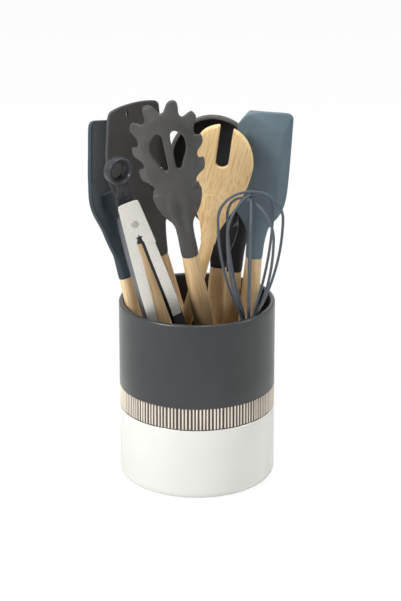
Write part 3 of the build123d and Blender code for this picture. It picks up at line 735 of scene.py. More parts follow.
    @staticmethod
    def plate(
        name: str,
        outline: Outline,
        holes: Sequence[Outline],
        half_thickness: float,
        rounding: float,
        place: Matrix,
        materials: Sequence[Material],
        cell: float,
        warp: Callable[[Vector], Vector],
    ) -> Object:
        """Flat plate with rounded edges, cut from an outline and then bent.

        Args:
            name: the object's name.
            outline: outer outline in X and Z.
            holes: outlines of the holes.
            half_thickness: half the plate's thickness.
            rounding: radius of its edges.
            place: the piece's frame.
            materials: its material slots.
            cell: largest cell before bending.
            warp: where each point goes.

        Returns:
            The plate.
        """
        curve = bpy.data.curves.new(name, "CURVE")
        curve.dimensions = "2D"
        curve.fill_mode = "BOTH"
        curve.extrude = (half_thickness - rounding) * MM
        curve.bevel_depth = rounding * MM
        curve.bevel_resolution = 2
        curve.offset = -rounding * MM
        for loop in (outline, *holes):
            spline = curve.splines.new("POLY")
            spline.points.add(len(loop) - 1)
            spline.use_cyclic_u = True
            for point, (x, z) in zip(spline.points, loop):
                point.co = (x * MM, z * MM, 0.0, 1.0)
        flat = linked(name, curve)
        bpy.context.view_layer.update()
        graph = bpy.context.evaluated_depsgraph_get()
        mesh = bpy.data.meshes.new_from_object(flat.evaluated_get(graph))
        bpy.data.objects.remove(flat)
        bpy.data.curves.remove(curve)
        work = bmesh.new()
        work.from_mesh(mesh)
        bpy.data.meshes.remove(mesh)
        bmesh.ops.remove_doubles(work, verts=work.verts, dist=PLATE_WELD)
        for axis, normal in enumerate(((1, 0, 0), (0, 1, 0))):
            spread = [corner[axis] for corner in outline]
            low, high = min(spread), max(spread)
            steps = int((high - low) / cell)
            for step in range(1, steps):
                spot = Vector((0, 0, 0))
                spot[axis] = (low + (high - low) * step / steps) * MM
                geometry = work.verts[:] + work.edges[:] + work.faces[:]
                bmesh.ops.bisect_plane(work, geom=geometry, plane_co=spot, plane_no=normal, dist=CUT_WELD)
        for vertex in work.verts:
            x, z, y = vertex.co
            vertex.co = warp(Vector((x, y, z)) / MM) * MM
        made = bpy.data.meshes.new(name)
        work.to_mesh(made)
        work.free()
        obj = linked(name, made)
        obj.matrix_world = place
        for material in materials:
            made.materials.append(material)
        Form.finish_mesh(obj, 32.0)
        return obj


@dataclass(frozen=True)
class Stance:
    """How a tool stands in the crock.

    Its places at the floor and at the rim's height are shares of the inner radius. Its foot is given as
    half width, half depth and rounding.
    """

    stand: tuple[float, float]
    rim: tuple[float, float]
    handle_length: float = 0.0
    turn: float = 0.0
    foot: tuple[float, float, float] = (6.9, 4.7, 3.0)

    def axes(self) -> tuple[Vector, Vector, Vector]:
        """Directions of the tool.

        Returns:
            Its directions across, back and along.
        """
        along = (self.spot(self.rim, RIM_HEIGHT) - self.spot(self.stand, FLOOR_HEIGHT)).normalized()
        front = (SHOWN_SIDE - along * SHOWN_SIDE.dot(along)).normalized()
        facing = front * cos(radians(self.turn)) + along.cross(front) * sin(radians(self.turn))
        side = along.cross(facing)
        return side, along.cross(side), along

    @staticmethod
    def spot(shares: tuple[float, float], height: float) -> Vector:
        """Point in the crock at shares of its inner radius and a height."""
        return Vector((shares[0] * INNER_RADIUS, shares[1] * INNER_RADIUS, height))

    def frame(self, lift: float | None = None) -> Matrix:
        """Frame at the tool's foot, in metres.

        Args:
            lift: distance from the floor along the tool; worked out from the foot where left out.

        Returns:
            The frame as a matrix.
        """
        side, back, along = self.axes()
        if lift is None:
            wide, deep, rounding = self.foot
            dip = hypot((wide - rounding) * side.z, (deep - rounding) * back.z)
            lift = (RESTING_GAP + dip + rounding * (1 - along.z)) / along.z
        matrix = Matrix((side, back, along)).transposed().to_4x4()
        matrix.translation = (self.spot(self.stand, FLOOR_HEIGHT) + along * lift) * MM
        return matrix

    def head(self) -> Matrix:
        """Frame where the head's sleeve starts, in metres."""
        return self.frame() @ Matrix.Translation((0.0, 0.0, self.handle_length * MM))


def settle(obj: Object, body: str, slot: str, *nodes: str) -> None:
    """Let a finished piece ride on its body and stand for its CAD nodes.

    Args:
        obj: the piece.
        body: the CAD body that it rides on.
        slot: the record's material slot; not used.
        nodes: the CAD nodes that it stands for.
    """
    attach(obj, body)
    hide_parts(*nodes)
    LOG.info("built %s", obj.name)


@dataclass(frozen=True)
class Places:
    """Where every tool stands; the same as in the part's source."""

    spoonula: Stance = Stance((-0.331, -0.353), (-0.892, -0.099), 170.4, turn=58.0)
    slotted_turner: Stance = Stance((0.267, 0.290), (-0.347, 0.182), 185.7, turn=35.0)
    solid_turner: Stance = Stance((0.002, 0.715), (-0.623, 0.644), 186.7, turn=12.0)
    pasta_fork: Stance = Stance((0.461, 0.604), (0.052, -0.284), 210.4)
    wooden_spoon: Stance = Stance((-0.688, 0.150), (-0.069, -0.085), foot=(4.6, 4.6, 2.3))
    ladle: Stance = Stance((0.112, 0.580), (0.271, 0.346), 168.0)
    serving_spoon: Stance = Stance((0.319, 0.801), (0.495, 0.683), 155.6)
    spatula: Stance = Stance((0.520, 0.280), (0.726, 0.101), 181.3)
    whisk: Stance = Stance((0.682, 0.107), (0.700, -0.453), foot=(5.6, 5.6, 2.8))
    tongs: Stance = Stance((0.346, -0.142), (-0.475, -0.462))


@dataclass(frozen=True)
class Crock:
    """Thrown stoneware crock: charcoal above, carved band, white foot."""

    radius: float = 64.0
    height: float = RIM_HEIGHT
    wall: float = 4.0
    floor: float = FLOOR_HEIGHT
    floor_round: float = 5.0
    foot_round: float = 6.5
    band_low: float = 61.4
    band_high: float = 80.5
    recess: float = 0.55
    bars: int = 136
    bar_width: float = 1.42
    columns: int = 408

    def profile(self) -> list[tuple[float, float, int]]:
        """Section of the crock, from the inner floor round to the base.

        Returns:
            Radius, height and zone of each point.
        """
        points: list[tuple[float, float, int]] = [(r, self.floor, Zone.INSIDE) for r in (0.0, 30.0)]
        inner, bend, lip, foot = self.radius - self.wall, self.floor_round, self.wall / 2, self.foot_round
        for step in range(7):
            angle = pi / 2 * step / 6
            height = self.floor + bend - bend * cos(angle)
            points.append((inner - bend + bend * sin(angle), height, Zone.INSIDE))
        points += [(inner, z, Zone.INSIDE) for z in (40.0, 90.0, self.height - 4.0)]
        for step in range(13):
            angle = pi * step / 12
            height = self.height - lip + lip * sin(angle)
            points.append((inner + lip - lip * cos(angle), height, Zone.GLAZE))
        wall = (self.height - 6.0, 120.0, 100.0, self.band_high + 0.5)
        points += [(self.radius, z, Zone.GLAZE) for z in wall]
        points.append((self.radius - 0.12, self.band_high + 0.12, Zone.GLAZE))
        groove = (self.band_high - 0.3, 71.0, self.band_low - 0.4)
        points += [(self.radius - self.recess, z, Zone.GROOVE) for z in groove]
        points.append((self.radius - 0.15, self.band_low - 0.75, Zone.FOOT))
        points += [(self.radius, z, Zone.FOOT) for z in (self.band_low - 1.1, 50.0, 30.0, foot + 0.5)]
        for step in range(1, 11):
            angle = pi / 2 * step / 10
            points.append((self.radius - foot + foot * cos(angle), foot - foot * sin(angle), Zone.FOOT))
        return points + [(40.0, 0.0, Zone.FOOT), (0.0, 0.0, Zone.FOOT)]

    def bar(self, number: int) -> tuple[list[Vector], Faces]:
        """One raised cream bar of the band, set and cut a little unevenly by hand.

        Args:
            number: which bar.

        Returns:
            Points and faces.
        """
        wander = 0.06 * sin(number * 12.9) + 0.05 * sin(number * 4.3)
        middle = 2 * pi * (number + wander) / self.bars
        half = self.bar_width / 2 * (1.0 + 0.1 * sin(number * 7.7))
        low = self.band_low + 0.55 + 0.18 * sin(number * 5.1)
        high = self.band_high - 0.62 + 0.12 * sin(number * 3.7)
        deep, proud = self.radius - self.recess - 0.05, self.radius + 0.02
        low_end = [(low, 0.45, deep), (low + 0.12, 0.8, proud - 0.16), (low + 0.5, 0.96, proud)]
        high_end = [(high - 0.5, 0.96, proud), (high - 0.12, 0.8, proud - 0.16), (high, 0.45, deep)]
        rings: list[Ring] = []
        for z, width, out in (*low_end, ((low + high) / 2, 1.0, proud), *high_end):
            ring: Ring = []
            low_side = [(-1.0, deep), (-0.82, out - 0.12), (-0.5, out)]
            for side, depth in (*low_side, *((-share, reach) for share, reach in reversed(low_side))):
                angle = middle + side * half * width / self.radius
                reach = min(depth, out)
                ring.append(Vector((reach * cos(angle), reach * sin(angle), z)))
            rings.append(ring)
        return Form.skin(rings)

    def build(self, finishes: Finishes) -> None:
        """Build the crock.

        Args:
            finishes: the set's finishes.
        """
        profile = self.profile()
        turns = [2 * pi * column / self.columns for column in range(self.columns)]
        rings = [[Vector((r * cos(turn), r * sin(turn), z)) for turn in turns] for r, z, _ in profile]
        points, faces = Form.skin(rings, False)
        marks = [mark for _, _, mark in profile[1:] for _ in turns]
        for number in range(self.bars):
            bar_points, bar_faces = self.bar(number)
            offset = len(points)
            points += bar_points
            faces += [[index + offset for index in face] for face in bar_faces]
            marks += [Zone.BAR] * len(bar_faces)
        slots = {
            Zone.GLAZE: finishes.charcoal_glaze,
            Zone.INSIDE: finishes.inner_glaze,
            Zone.GROOVE: finishes.groove,
            Zone.FOOT: finishes.white_glaze,
            Zone.BAR: finishes.cream_bar,
        }
        materials = [slots[zone] for zone in Zone]
        crock = Form.write("crock_glazed_body", points, faces, Matrix.Identity(4), materials, 50.0, marks)
        settle(crock, "crock", "stoneware", "crock_body")


@dataclass(frozen=True)
class PastaFork:
    """Pasta fork: shield-shaped plate with two drain holes, ten teeth and a fluted neck."""

    edge: Outline = (
        (6.6, 27.0), (7.6, 31.0), (9.2, 35.5), (12.2, 39.5), (15.2, 44.8), (17.6, 51.0), (19.1, 58.0),
        (19.6, 62.8), (18.8, 66.4), (17.4, 70.0), (16.7, 73.6), (17.6, 77.4), (20.6, 79.2), (24.2, 79.2),
        (25.7, 82.0), (26.2, 87.5), (25.5, 91.4), (22.9, 93.9), (21.3, 97.9), (22.2, 102.0), (25.2, 103.3),
        (27.3, 104.6), (27.9, 108.2), (27.0, 111.8), (24.2, 113.7), (22.5, 116.4), (22.1, 119.6),
        (23.0, 122.8), (25.3, 124.8), (26.4, 127.0), (25.2, 130.3), (23.2, 133.0), (20.2, 133.6),
        (16.6, 133.6), (14.2, 135.0), (13.4, 138.0), (13.9, 141.2), (13.6, 144.2), (11.4, 146.2),
        (8.2, 146.8), (5.4, 145.9), (3.4, 143.6), (1.6, 141.6), (0.0, 141.0),
    )
    hole: Outline = (
        (3.2, 94.0), (3.1, 104.0), (3.1, 114.0), (3.2, 122.0), (4.6, 126.0), (7.4, 126.6), (10.6, 123.8),
        (13.3, 119.4), (14.1, 113.0), (13.2, 107.0), (11.2, 102.2), (9.4, 98.2), (8.0, 94.0), (6.2, 91.4),
        (4.2, 91.4),
    )
    rise: Outline = (
        (20.0, 0.4), (45.0, 0.0), (60.0, -1.6), (80.0, -4.6), (100.0, -6.0), (118.0, -5.0), (134.0, -1.8),
        (148.0, 3.4),
    )
    neck: Sequence[tuple[float, float, float, float]] = (
        (0.0, 6.9, 4.8, 0.0), (3.0, 7.05, 4.9, 0.0), (12.0, 7.0, 4.7, 0.0), (24.0, 7.0, 4.4, 0.0),
        (34.0, 7.7, 4.0, 0.0), (42.0, 8.8, 3.6, -0.1), (50.0, 9.6, 3.1, -0.6), (60.0, 9.8, 2.4, -1.8),
        (72.0, 8.6, 1.7, -3.5), (86.0, 5.0, 1.0, -5.2),
    )
    half_thickness: float = 1.7
    rounding: float = 0.6
    bow: float = 120.0
    dish_middle: float = 100.0
    dish_reach: tuple[float, float] = (21.5, 39.0)
    lowest_tooth: float = 66.0
    tooth_lean: float = 16.0
    flute_depth: float = 1.7
    flute_width: float = 3.4
    flute_run: tuple[float, float] = (14.0, 70.0)
    flute_fade: float = 20.0

    def dish(self, point: Vector) -> Vector:
        """Bow the plate and let the teeth lean back.

        Args:
            point: a point of the flat plate.

        Returns:
            Where it goes.
        """
        wide, high = self.dish_reach
        edge = hypot(point.x / wide, (point.z - self.dish_middle) / high)
        lean = max(0.0, edge - 1.0) * self.tooth_lean if point.z > self.lowest_tooth else 0.0
        depth = Form.smooth_value(self.rise, point.z) + point.x * point.x / self.bow + lean
        return Vector((point.x, point.y + depth, point.z))

    def build(self, stance: Stance, material: Material) -> None:
        """Build the head.

        Args:
            stance: how the fork stands.
            material: its silicone.
        """
        place = stance.head()
        right = Form.curve_through(self.edge, False, 4)
        outline = right + [(-x, z) for x, z in reversed(right[:-1])]
        hole = Form.curve_through(self.hole, True, 4)
        holes = [hole, [(-x, z) for x, z in reversed(hole)]]
        sizes = (self.half_thickness, self.rounding)
        plate = Form.plate("pasta_fork_silicone", outline, holes, *sizes, place, [material], 2.5, self.dish)
        start, end = self.flute_run
        rings: list[Ring] = []
        for z, wide, deep, y in self.neck:
            ring = Form.round_ring(wide, deep, z, 2.3, 48, 0.0, y)
            fade = within((z - start) / self.flute_fade) * within((end - z) / self.flute_fade)
            for point in ring:
                if point.y < y:
                    point.y += self.flute_depth * fade * FALL_OFF ** (-((point.x / self.flute_width) ** 2))
            rings.append(ring)
        Form.grow_neck(plate, rings, place, 0.5, 10)
        settle(plate, "pasta_fork", "charcoal_silicone", "pasta_fork_head")


@dataclass(frozen=True)
class Blade:
    """Silicone blade: a bent plate on the neck that grips the handle.

    The neck's rows are height, half width, half depth and place along Y; the slits' are place across,
    low end, high end and half width.
    """

    body: str
    slot: str
    outline: Outline
    bend: Outline
    neck: Sequence[tuple[float, float, float, float]]
    half_thickness: float = 1.6
    rounding: float = 0.72
    slits: Sequence[tuple[float, float, float, float]] = ()
    hollow: float = 0.0
    half_width: float = 30.0
    flat_below: float = 44.0
    hollow_run: float = 30.0
    cell: float = 2.5
    neck_power: float = 2.2
    voxel: float = 0.55
    passes: int = 4

    def shape(self, point: Vector) -> Vector:
        """Bend and dish the flat plate; its corners stay in place.

        Args:
            point: a point of the flat plate.

        Returns:
            Where it goes.
        """
        reach = min(1.0, abs(point.x) / self.half_width)
        dip = self.hollow * (1.0 - reach**2) * within((point.z - self.flat_below) / self.hollow_run)
        return Vector((point.x, point.y + Form.smooth_value(self.bend, point.z) + dip, point.z))

    @staticmethod
    def slit(x: float, low: float, high: float, half: float) -> list[tuple[float, float]]:
        """Outline of a slot with round ends.

        Args:
            x: place across.
            low, high: its ends.
            half: half its width.

        Returns:
            The outline.
        """
        made: list[tuple[float, float]] = []
        for end, turn in ((high - half, 0.0), (low + half, pi)):
            for step in range(9):
                angle = turn + pi * step / 8
                made.append((x + half * cos(angle), end + half * sin(angle)))
        return made

    def build(self, stance: Stance, material: Material) -> None:
        """Build the blade.

        Args:
            stance: how the tool stands.
            material: its silicone.
        """
        place = stance.head()
        slits = [self.slit(*slit) for slit in self.slits]
        outline = Form.curve_through(self.outline, True, 4)
        sizes = (self.half_thickness, self.rounding)
        name = f"{self.body}_silicone"
        plate = Form.plate(name, outline, slits, *sizes, place, [material], self.cell, self.shape)
        rings = [Form.round_ring(wide, deep, z, self.neck_power, y=y) for z, wide, deep, y in self.neck]
        Form.grow_neck(plate, rings, place, self.voxel, self.passes)
        settle(plate, self.body, self.slot, f"{self.body}_head")


@dataclass(frozen=True)
class BevelledBlade(Blade):
    """Scraper blade with a raised face and bevels down to its edges."""

    right_edge: Outline = ((30.0, 15.0), (41.0, 18.3), (62.0, 21.6), (105.0, 21.0), (128.0, 20.4))
    right_face: float = 13.8
    left_edge: float = -22.6
    left_bevel: float = 8.6
    top_edge: float = 127.2
    ridge_left: tuple[float, float] = (-13.8, 125.1)
    ridge_run: tuple[float, float] = (26.6, -14.5)
    sleeve_end: float = 22.0
    low_bevel: float = 26.0
    rise: float = 3.4

    def shape(self, point: Vector) -> Vector:
        """Thicken the plate between its bevels.

        Args:
            point: a point of the flat plate.

        Returns:
            Where it goes.
        """
        right = Form.smooth_value(self.right_edge, point.z)
        along_ridge = within((point.x - self.ridge_left[0]) / self.ridge_run[0])
        ridge = self.ridge_left[1] + self.ridge_run[1] * along_ridge
        share = min(
            (right - point.x) / max(1.0, right - self.right_face),
            (point.x - self.left_edge) / self.left_bevel,
            (self.top_edge - point.z) / (self.top_edge - ridge),
            (point.z - self.sleeve_end) / self.low_bevel,
        )
        grow = self.rise * within(share)
        return Vector((point.x, point.y + (grow if point.y > 0 else -grow), point.z))


SPOONULA = Blade(
    body="spoonula",
    slot="blue_grey_silicone",
    outline=(
        (5.0, 16.0), (6.9, 22.0), (8.6, 32.0), (12.0, 44.0), (17.0, 56.0), (22.0, 67.0), (25.5, 80.0),
        (26.6, 95.0), (26.0, 108.0), (23.4, 119.0), (18.0, 126.4), (10.0, 129.8), (2.9, 131.4),
        (-8.4, 134.2), (-16.9, 136.2), (-20.9, 136.1), (-23.9, 133.7), (-24.6, 126.8), (-24.5, 114.6),
        (-25.1, 102.6), (-25.6, 90.5), (-27.1, 78.6), (-27.0, 70.3), (-25.0, 63.0), (-21.3, 55.1),
        (-17.0, 46.1), (-13.5, 34.8), (-9.6, 24.0), (-5.6, 16.0),
    ),
    bend=(
        (0.0, 0.0), (26.8, 0.0), (60.3, -1.0), (88.4, -4.8), (109.9, -10.2), (134.0, -17.0), (140.0, -18.6),
    ),
    neck=(
        (0.0, 6.9, 4.8, 0.0), (3.0, 7.05, 4.9, 0.0), (12.0, 7.3, 4.7, 0.0), (22.0, 8.2, 4.2, 0.0),
        (34.0, 10.3, 3.6, 0.0), (46.0, 12.8, 3.0, -0.3), (58.0, 14.0, 2.4, -0.8), (72.0, 10.0, 1.4, -2.0),
    ),
    half_thickness=2.0,
    rounding=0.9,
    hollow=2.2,
    half_width=26.0,
)

SLOTTED_TURNER = Blade(
    body="slotted_turner",
    slot="charcoal_silicone",
    outline=(
        (6.0, 16.0), (12.6, 23.6), (16.5, 28.8), (18.1, 32.6), (21.0, 40.0), (24.6, 52.0), (27.2, 66.0),
        (28.0, 82.0), (27.6, 100.0), (26.6, 112.0), (26.2, 119.8), (26.2, 124.1), (25.0, 127.2),
        (22.2, 129.5), (14.3, 132.8), (4.5, 135.8), (-5.4, 137.8), (-13.5, 138.9), (-19.8, 139.0),
        (-23.6, 138.2), (-25.6, 135.7), (-27.4, 129.7), (-29.7, 117.4), (-32.3, 105.1), (-33.9, 92.7),
        (-34.3, 84.2), (-33.7, 78.0), (-32.0, 72.4), (-29.4, 66.0), (-25.6, 57.0), (-20.6, 47.0),
        (-16.4, 38.0), (-13.4, 28.0), (-6.0, 16.0),
    ),
    bend=(
        (0.0, 0.0), (20.5, 0.0), (51.2, -2.0), (76.8, -5.1), (99.8, -9.35), (131.8, -17.0), (142.0, -19.6),
    ),
    neck=(
        (0.0, 6.9, 4.8, 0.0), (3.0, 7.6, 4.8, 0.0), (9.4, 9.1, 4.4, 0.0), (16.0, 10.9, 4.0, 0.0),
        (24.0, 13.4, 3.4, 0.0), (34.0, 16.0, 2.7, -0.4), (46.0, 16.5, 2.0, -1.4), (60.0, 11.0, 1.2, -2.8),
    ),
    slits=(
        (-7.2, 127.0, 132.6, 0.7), (7.5, 48.0, 70.0, 1.7), (14.0, 48.0, 70.0, 1.7), (20.0, 52.0, 70.0, 1.5),
    ),
)

SOLID_TURNER = Blade(
    body="solid_turner",
    slot="charcoal_silicone",
    outline=mirrored(
        (
        (5.4, 14.0), (8.2, 26.0), (9.8, 40.0), (11.2, 56.0), (11.8, 78.0), (11.6, 96.0), (10.0, 103.4),
        (6.0, 105.6),
        )
    ),
    bend=((0.0, 0.0), (150.0, 0.0)),
    neck=(
        (0.0, 6.9, 4.8, 0.0), (3.0, 7.05, 4.8, 0.0), (14.0, 7.3, 4.4, 0.0), (28.0, 8.4, 3.4, 0.0),
        (44.0, 8.6, 2.4, 0.0), (58.0, 6.0, 1.3, 0.0),
    ),
)

SPATULA = BevelledBlade(
    body="spatula",
    slot="blue_grey_silicone",
    outline=(
        (5.0, 14.0), (8.8, 25.0), (12.6, 32.5), (18.3, 41.0), (20.7, 50.1), (21.6, 61.6), (21.5, 83.4),
        (21.0, 105.0), (20.6, 121.2), (20.0, 124.4), (17.6, 126.7), (13.0, 127.3), (4.0, 127.0),
        (-6.0, 126.7), (-12.0, 126.4), (-14.6, 125.6), (-18.3, 121.7), (-22.6, 115.4), (-23.4, 111.0),
        (-22.6, 90.0), (-22.0, 62.0), (-21.0, 50.1), (-18.4, 41.0), (-12.8, 32.5), (-8.9, 25.0),
        (-5.0, 14.0),
    ),
    bend=(),
    neck=(
        (0.0, 6.9, 4.8, 0.0), (3.0, 7.05, 4.9, 0.0), (14.0, 7.5, 4.7, 0.0), (26.0, 9.4, 4.4, 0.0),
        (38.0, 12.6, 4.2, 0.0), (52.0, 13.6, 3.6, 0.0), (66.0, 9.0, 2.0, 0.0),
    ),
    half_thickness=1.5,
    rounding=0.7,
    cell=1.6,
    neck_power=2.3,
    voxel=0.5,
    passes=3,
)


@dataclass(frozen=True)
class WoodenSpoon:
    """Bamboo spoon in one piece: round handle, broad bowl leaning left, one open slot."""

    outline: Outline = (
        (5.0, 204.0), (5.8, 214.9), (9.4, 228.1), (14.3, 243.4), (18.0, 258.1), (18.9, 273.6),
        (16.8, 284.7), (11.1, 295.4), (3.9, 302.1), (-3.2, 305.0), (-4.5, 304.2), (-3.2, 291.0),
        (-1.5, 276.2), (-2.4, 272.6), (-4.8, 270.6), (-7.8, 270.3), (-10.4, 271.4), (-11.6, 274.4),
        (-13.6, 290.0), (-15.4, 304.4), (-16.9, 305.2), (-21.8, 302.8), (-27.8, 297.0), (-31.0, 287.3),
        (-32.3, 278.0), (-32.4, 268.0), (-30.8, 258.6), (-26.5, 246.5), (-19.5, 234.0), (-12.5, 223.0),
        (-7.6, 212.0), (-5.4, 204.0),
    )
    stem: Sequence[tuple[float, float, float, float]] = (
        (0.0, 2.8, 2.8, 0.0), (0.8, 3.9, 3.9, 0.0), (2.3, 4.6, 4.6, 0.0), (60.0, 4.9, 4.9, 0.0),
        (150.0, 5.3, 5.3, 0.0), (190.0, 5.3, 5.3, 0.0), (205.0, 5.6, 5.0, -0.4), (218.0, 8.2, 4.4, -2.2),
        (232.0, 11.0, 3.6, -4.2), (246.0, 10.0, 2.4, -5.6),
    )
    finish: Bamboo = Bamboo("spoon_bamboo", (255, 230, 180), (251, 217, 161), (245, 204, 146), 5.5)
    fibre_lean: float = -16.0
    half_thickness: float = 3.4
    rounding: float = 1.5
    bowl_middle: tuple[float, float] = (-6.8, 266.0)
    bowl_reach: tuple[float, float] = (24.0, 38.0)
    hollow: float = 2.8
    swell: float = 1.0

    def shape(self, point: Vector) -> Vector:
        """Hollow the bowl's face and round its back.

        Args:
            point: a point of the flat plate.

        Returns:
            Where it goes.
        """
        (x, z), (wide, high) = self.bowl_middle, self.bowl_reach
        deep = max(0.0, 1.0 - hypot((point.x - x) / wide, (point.z - z) / high) ** 2)
        return Vector((point.x, point.y + deep * (self.hollow if point.y < 0 else self.swell), point.z))

    def build(self, stance: Stance) -> None:
        """Build the spoon.

        Args:
            stance: how the spoon stands.
        """
        place = stance.frame()
        material = self.finish.build(place @ Matrix.Rotation(radians(self.fibre_lean), 4, "Y"))
        outline = Form.curve_through(self.outline, True, 4)
        sizes = (self.half_thickness, self.rounding)
        bowl = Form.plate("bamboo_slotted_spoon", outline, [], *sizes, place, [material], 2.5, self.shape)
        rings = [Form.round_ring(wide, deep, z, 2.1, x=x) for z, wide, deep, x in self.stem]
        Form.grow_neck(bowl, rings, place, 0.6, 4, 4.0)
        settle(bowl, "wooden_spoon", "bamboo", "wooden_spoon")


@dataclass(frozen=True)
class Bowl:
    """Oval bowl of a ladle or serving spoon, with a flat lip and a neck.

    The neck's rows are height, half width and half depth.
    """

    name: str
    body: str
    half_width: float
    rise: float
    drop: float
    depth: float
    height: float
    wall: float
    neck: Sequence[tuple[float, float, float]]
    skew: float = 0.0
    taper: float = 0.0
    arc_steps: int = 14
    columns: int = 96
    lip_swell: float = 0.5
    lip_band: tuple[float, float] = (0.88, 1.02)
    lip_depth: float = 0.3
    bare_neck: float = 12.0

    def build(self, stance: Stance, inside: Material, lip: Material) -> None:
        """Build the bowl.

        Args:
            stance: how the tool stands.
            inside: darker silicone of the whole bowl, a painted shade.
            lip: lighter silicone of its edge, a painted highlight.
        """
        place = stance.head()
        joint = self.height - self.drop
        swing = Matrix.Translation((0.0, 0.0, joint)) @ Matrix.Rotation(-radians(self.skew), 4, "Y")
        swing = swing @ Matrix.Translation((0.0, 0.0, -joint))
        arc = [pi / 2 * step / self.arc_steps for step in range(self.arc_steps + 1)]
        stops = [(0.0, angle) for angle in reversed(arc)]
        stops += [(share, 0.0) for share in (0.12, 0.5, 0.88)]
        stops += [(1.0, angle) for angle in arc]
        rings: list[Ring] = []
        for inward, angle in stops:
            shrink = self.wall * inward
            width, deep = (self.half_width - shrink) * cos(angle), (self.depth - shrink) * sin(angle)
            proud = -self.lip_swell * (1.0 - (2.0 * inward - 1.0) ** 2) if angle == 0.0 else 0.0
            ring: Ring = []
            for column in range(self.columns):
                turn = 2 * pi * column / self.columns
                reach = (self.rise if cos(turn) > 0 else self.drop) - shrink
                waist = 1.0 - self.taper * min(0.0, cos(turn)) ** 2
                across = width * waist * sin(turn)
                point = Vector((across, deep + proud, self.height + reach * cos(angle) * cos(turn)))
                ring.append(swing @ point)
            rings.append(ring)
        points, faces = Form.skin(rings)
        # bowl body in the darker silicone as painted shade, lip faces in the lighter silicone as painted
        # highlight
        bowl = Form.write(self.name, points, faces, place, [inside, lip])
        necks = [Form.round_ring(wide, deep, z, 2.2) for z, wide, deep in self.neck]
        Form.grow_neck(bowl, necks, place, 0.55, 3)
        settle(bowl, self.body, "dark_nylon", f"{self.body}_head")
        self.paint_lip_highlight(bowl, place, swing)

    def paint_lip_highlight(self, bowl: Object, place: Matrix, swing: Matrix) -> None:
        """Give the lip's faces the lighter silicone, a painted highlight along the lip.

        Args:
            bowl: the finished bowl.
            place: the head's frame.
            swing: the bowl's lean on its neck.
        """
        back = place.inverted() @ bowl.matrix_world
        turned = swing.inverted()
        low, high = self.lip_band
        for face in bowl.data.polygons:
            spot = turned @ ((back @ face.center) / MM)
            reach = self.rise if spot.z > self.height else self.drop
            edge = hypot(spot.x / self.half_width, (spot.z - self.height) / reach)
            above_neck = spot.z > self.height - self.drop + self.bare_neck
            face.material_index = int(spot.y < self.lip_depth and low < edge < high and above_neck)


LADLE = Bowl(
    name="ladle_bowl_moulded",
    body="ladle",
    half_width=35.8,
    rise=38.6,
    drop=71.0,
    depth=22.0,
    height=95.0,
    wall=3.2,
    neck=(
        (0.0, 6.9, 4.8), (3.0, 7.1, 4.9), (12.0, 8.6, 4.7), (24.0, 12.0, 4.2), (36.0, 14.0, 3.6),
        (46.0, 13.0, 2.4),
    ),
    skew=8.6,
    taper=0.6,
)

SERVING_SPOON = Bowl(
    name="serving_spoon_moulded",
    body="serving_spoon",
    half_width=26.0,
    rise=30.0,
    drop=50.0,
    depth=14.0,
    height=96.0,
    wall=2.8,
    neck=(
        (0.0, 6.9, 4.8), (3.0, 7.1, 4.9), (20.0, 8.0, 4.5), (38.0, 10.5, 4.0), (54.0, 12.0, 3.4),
        (64.0, 10.0, 2.2),
    ),
)


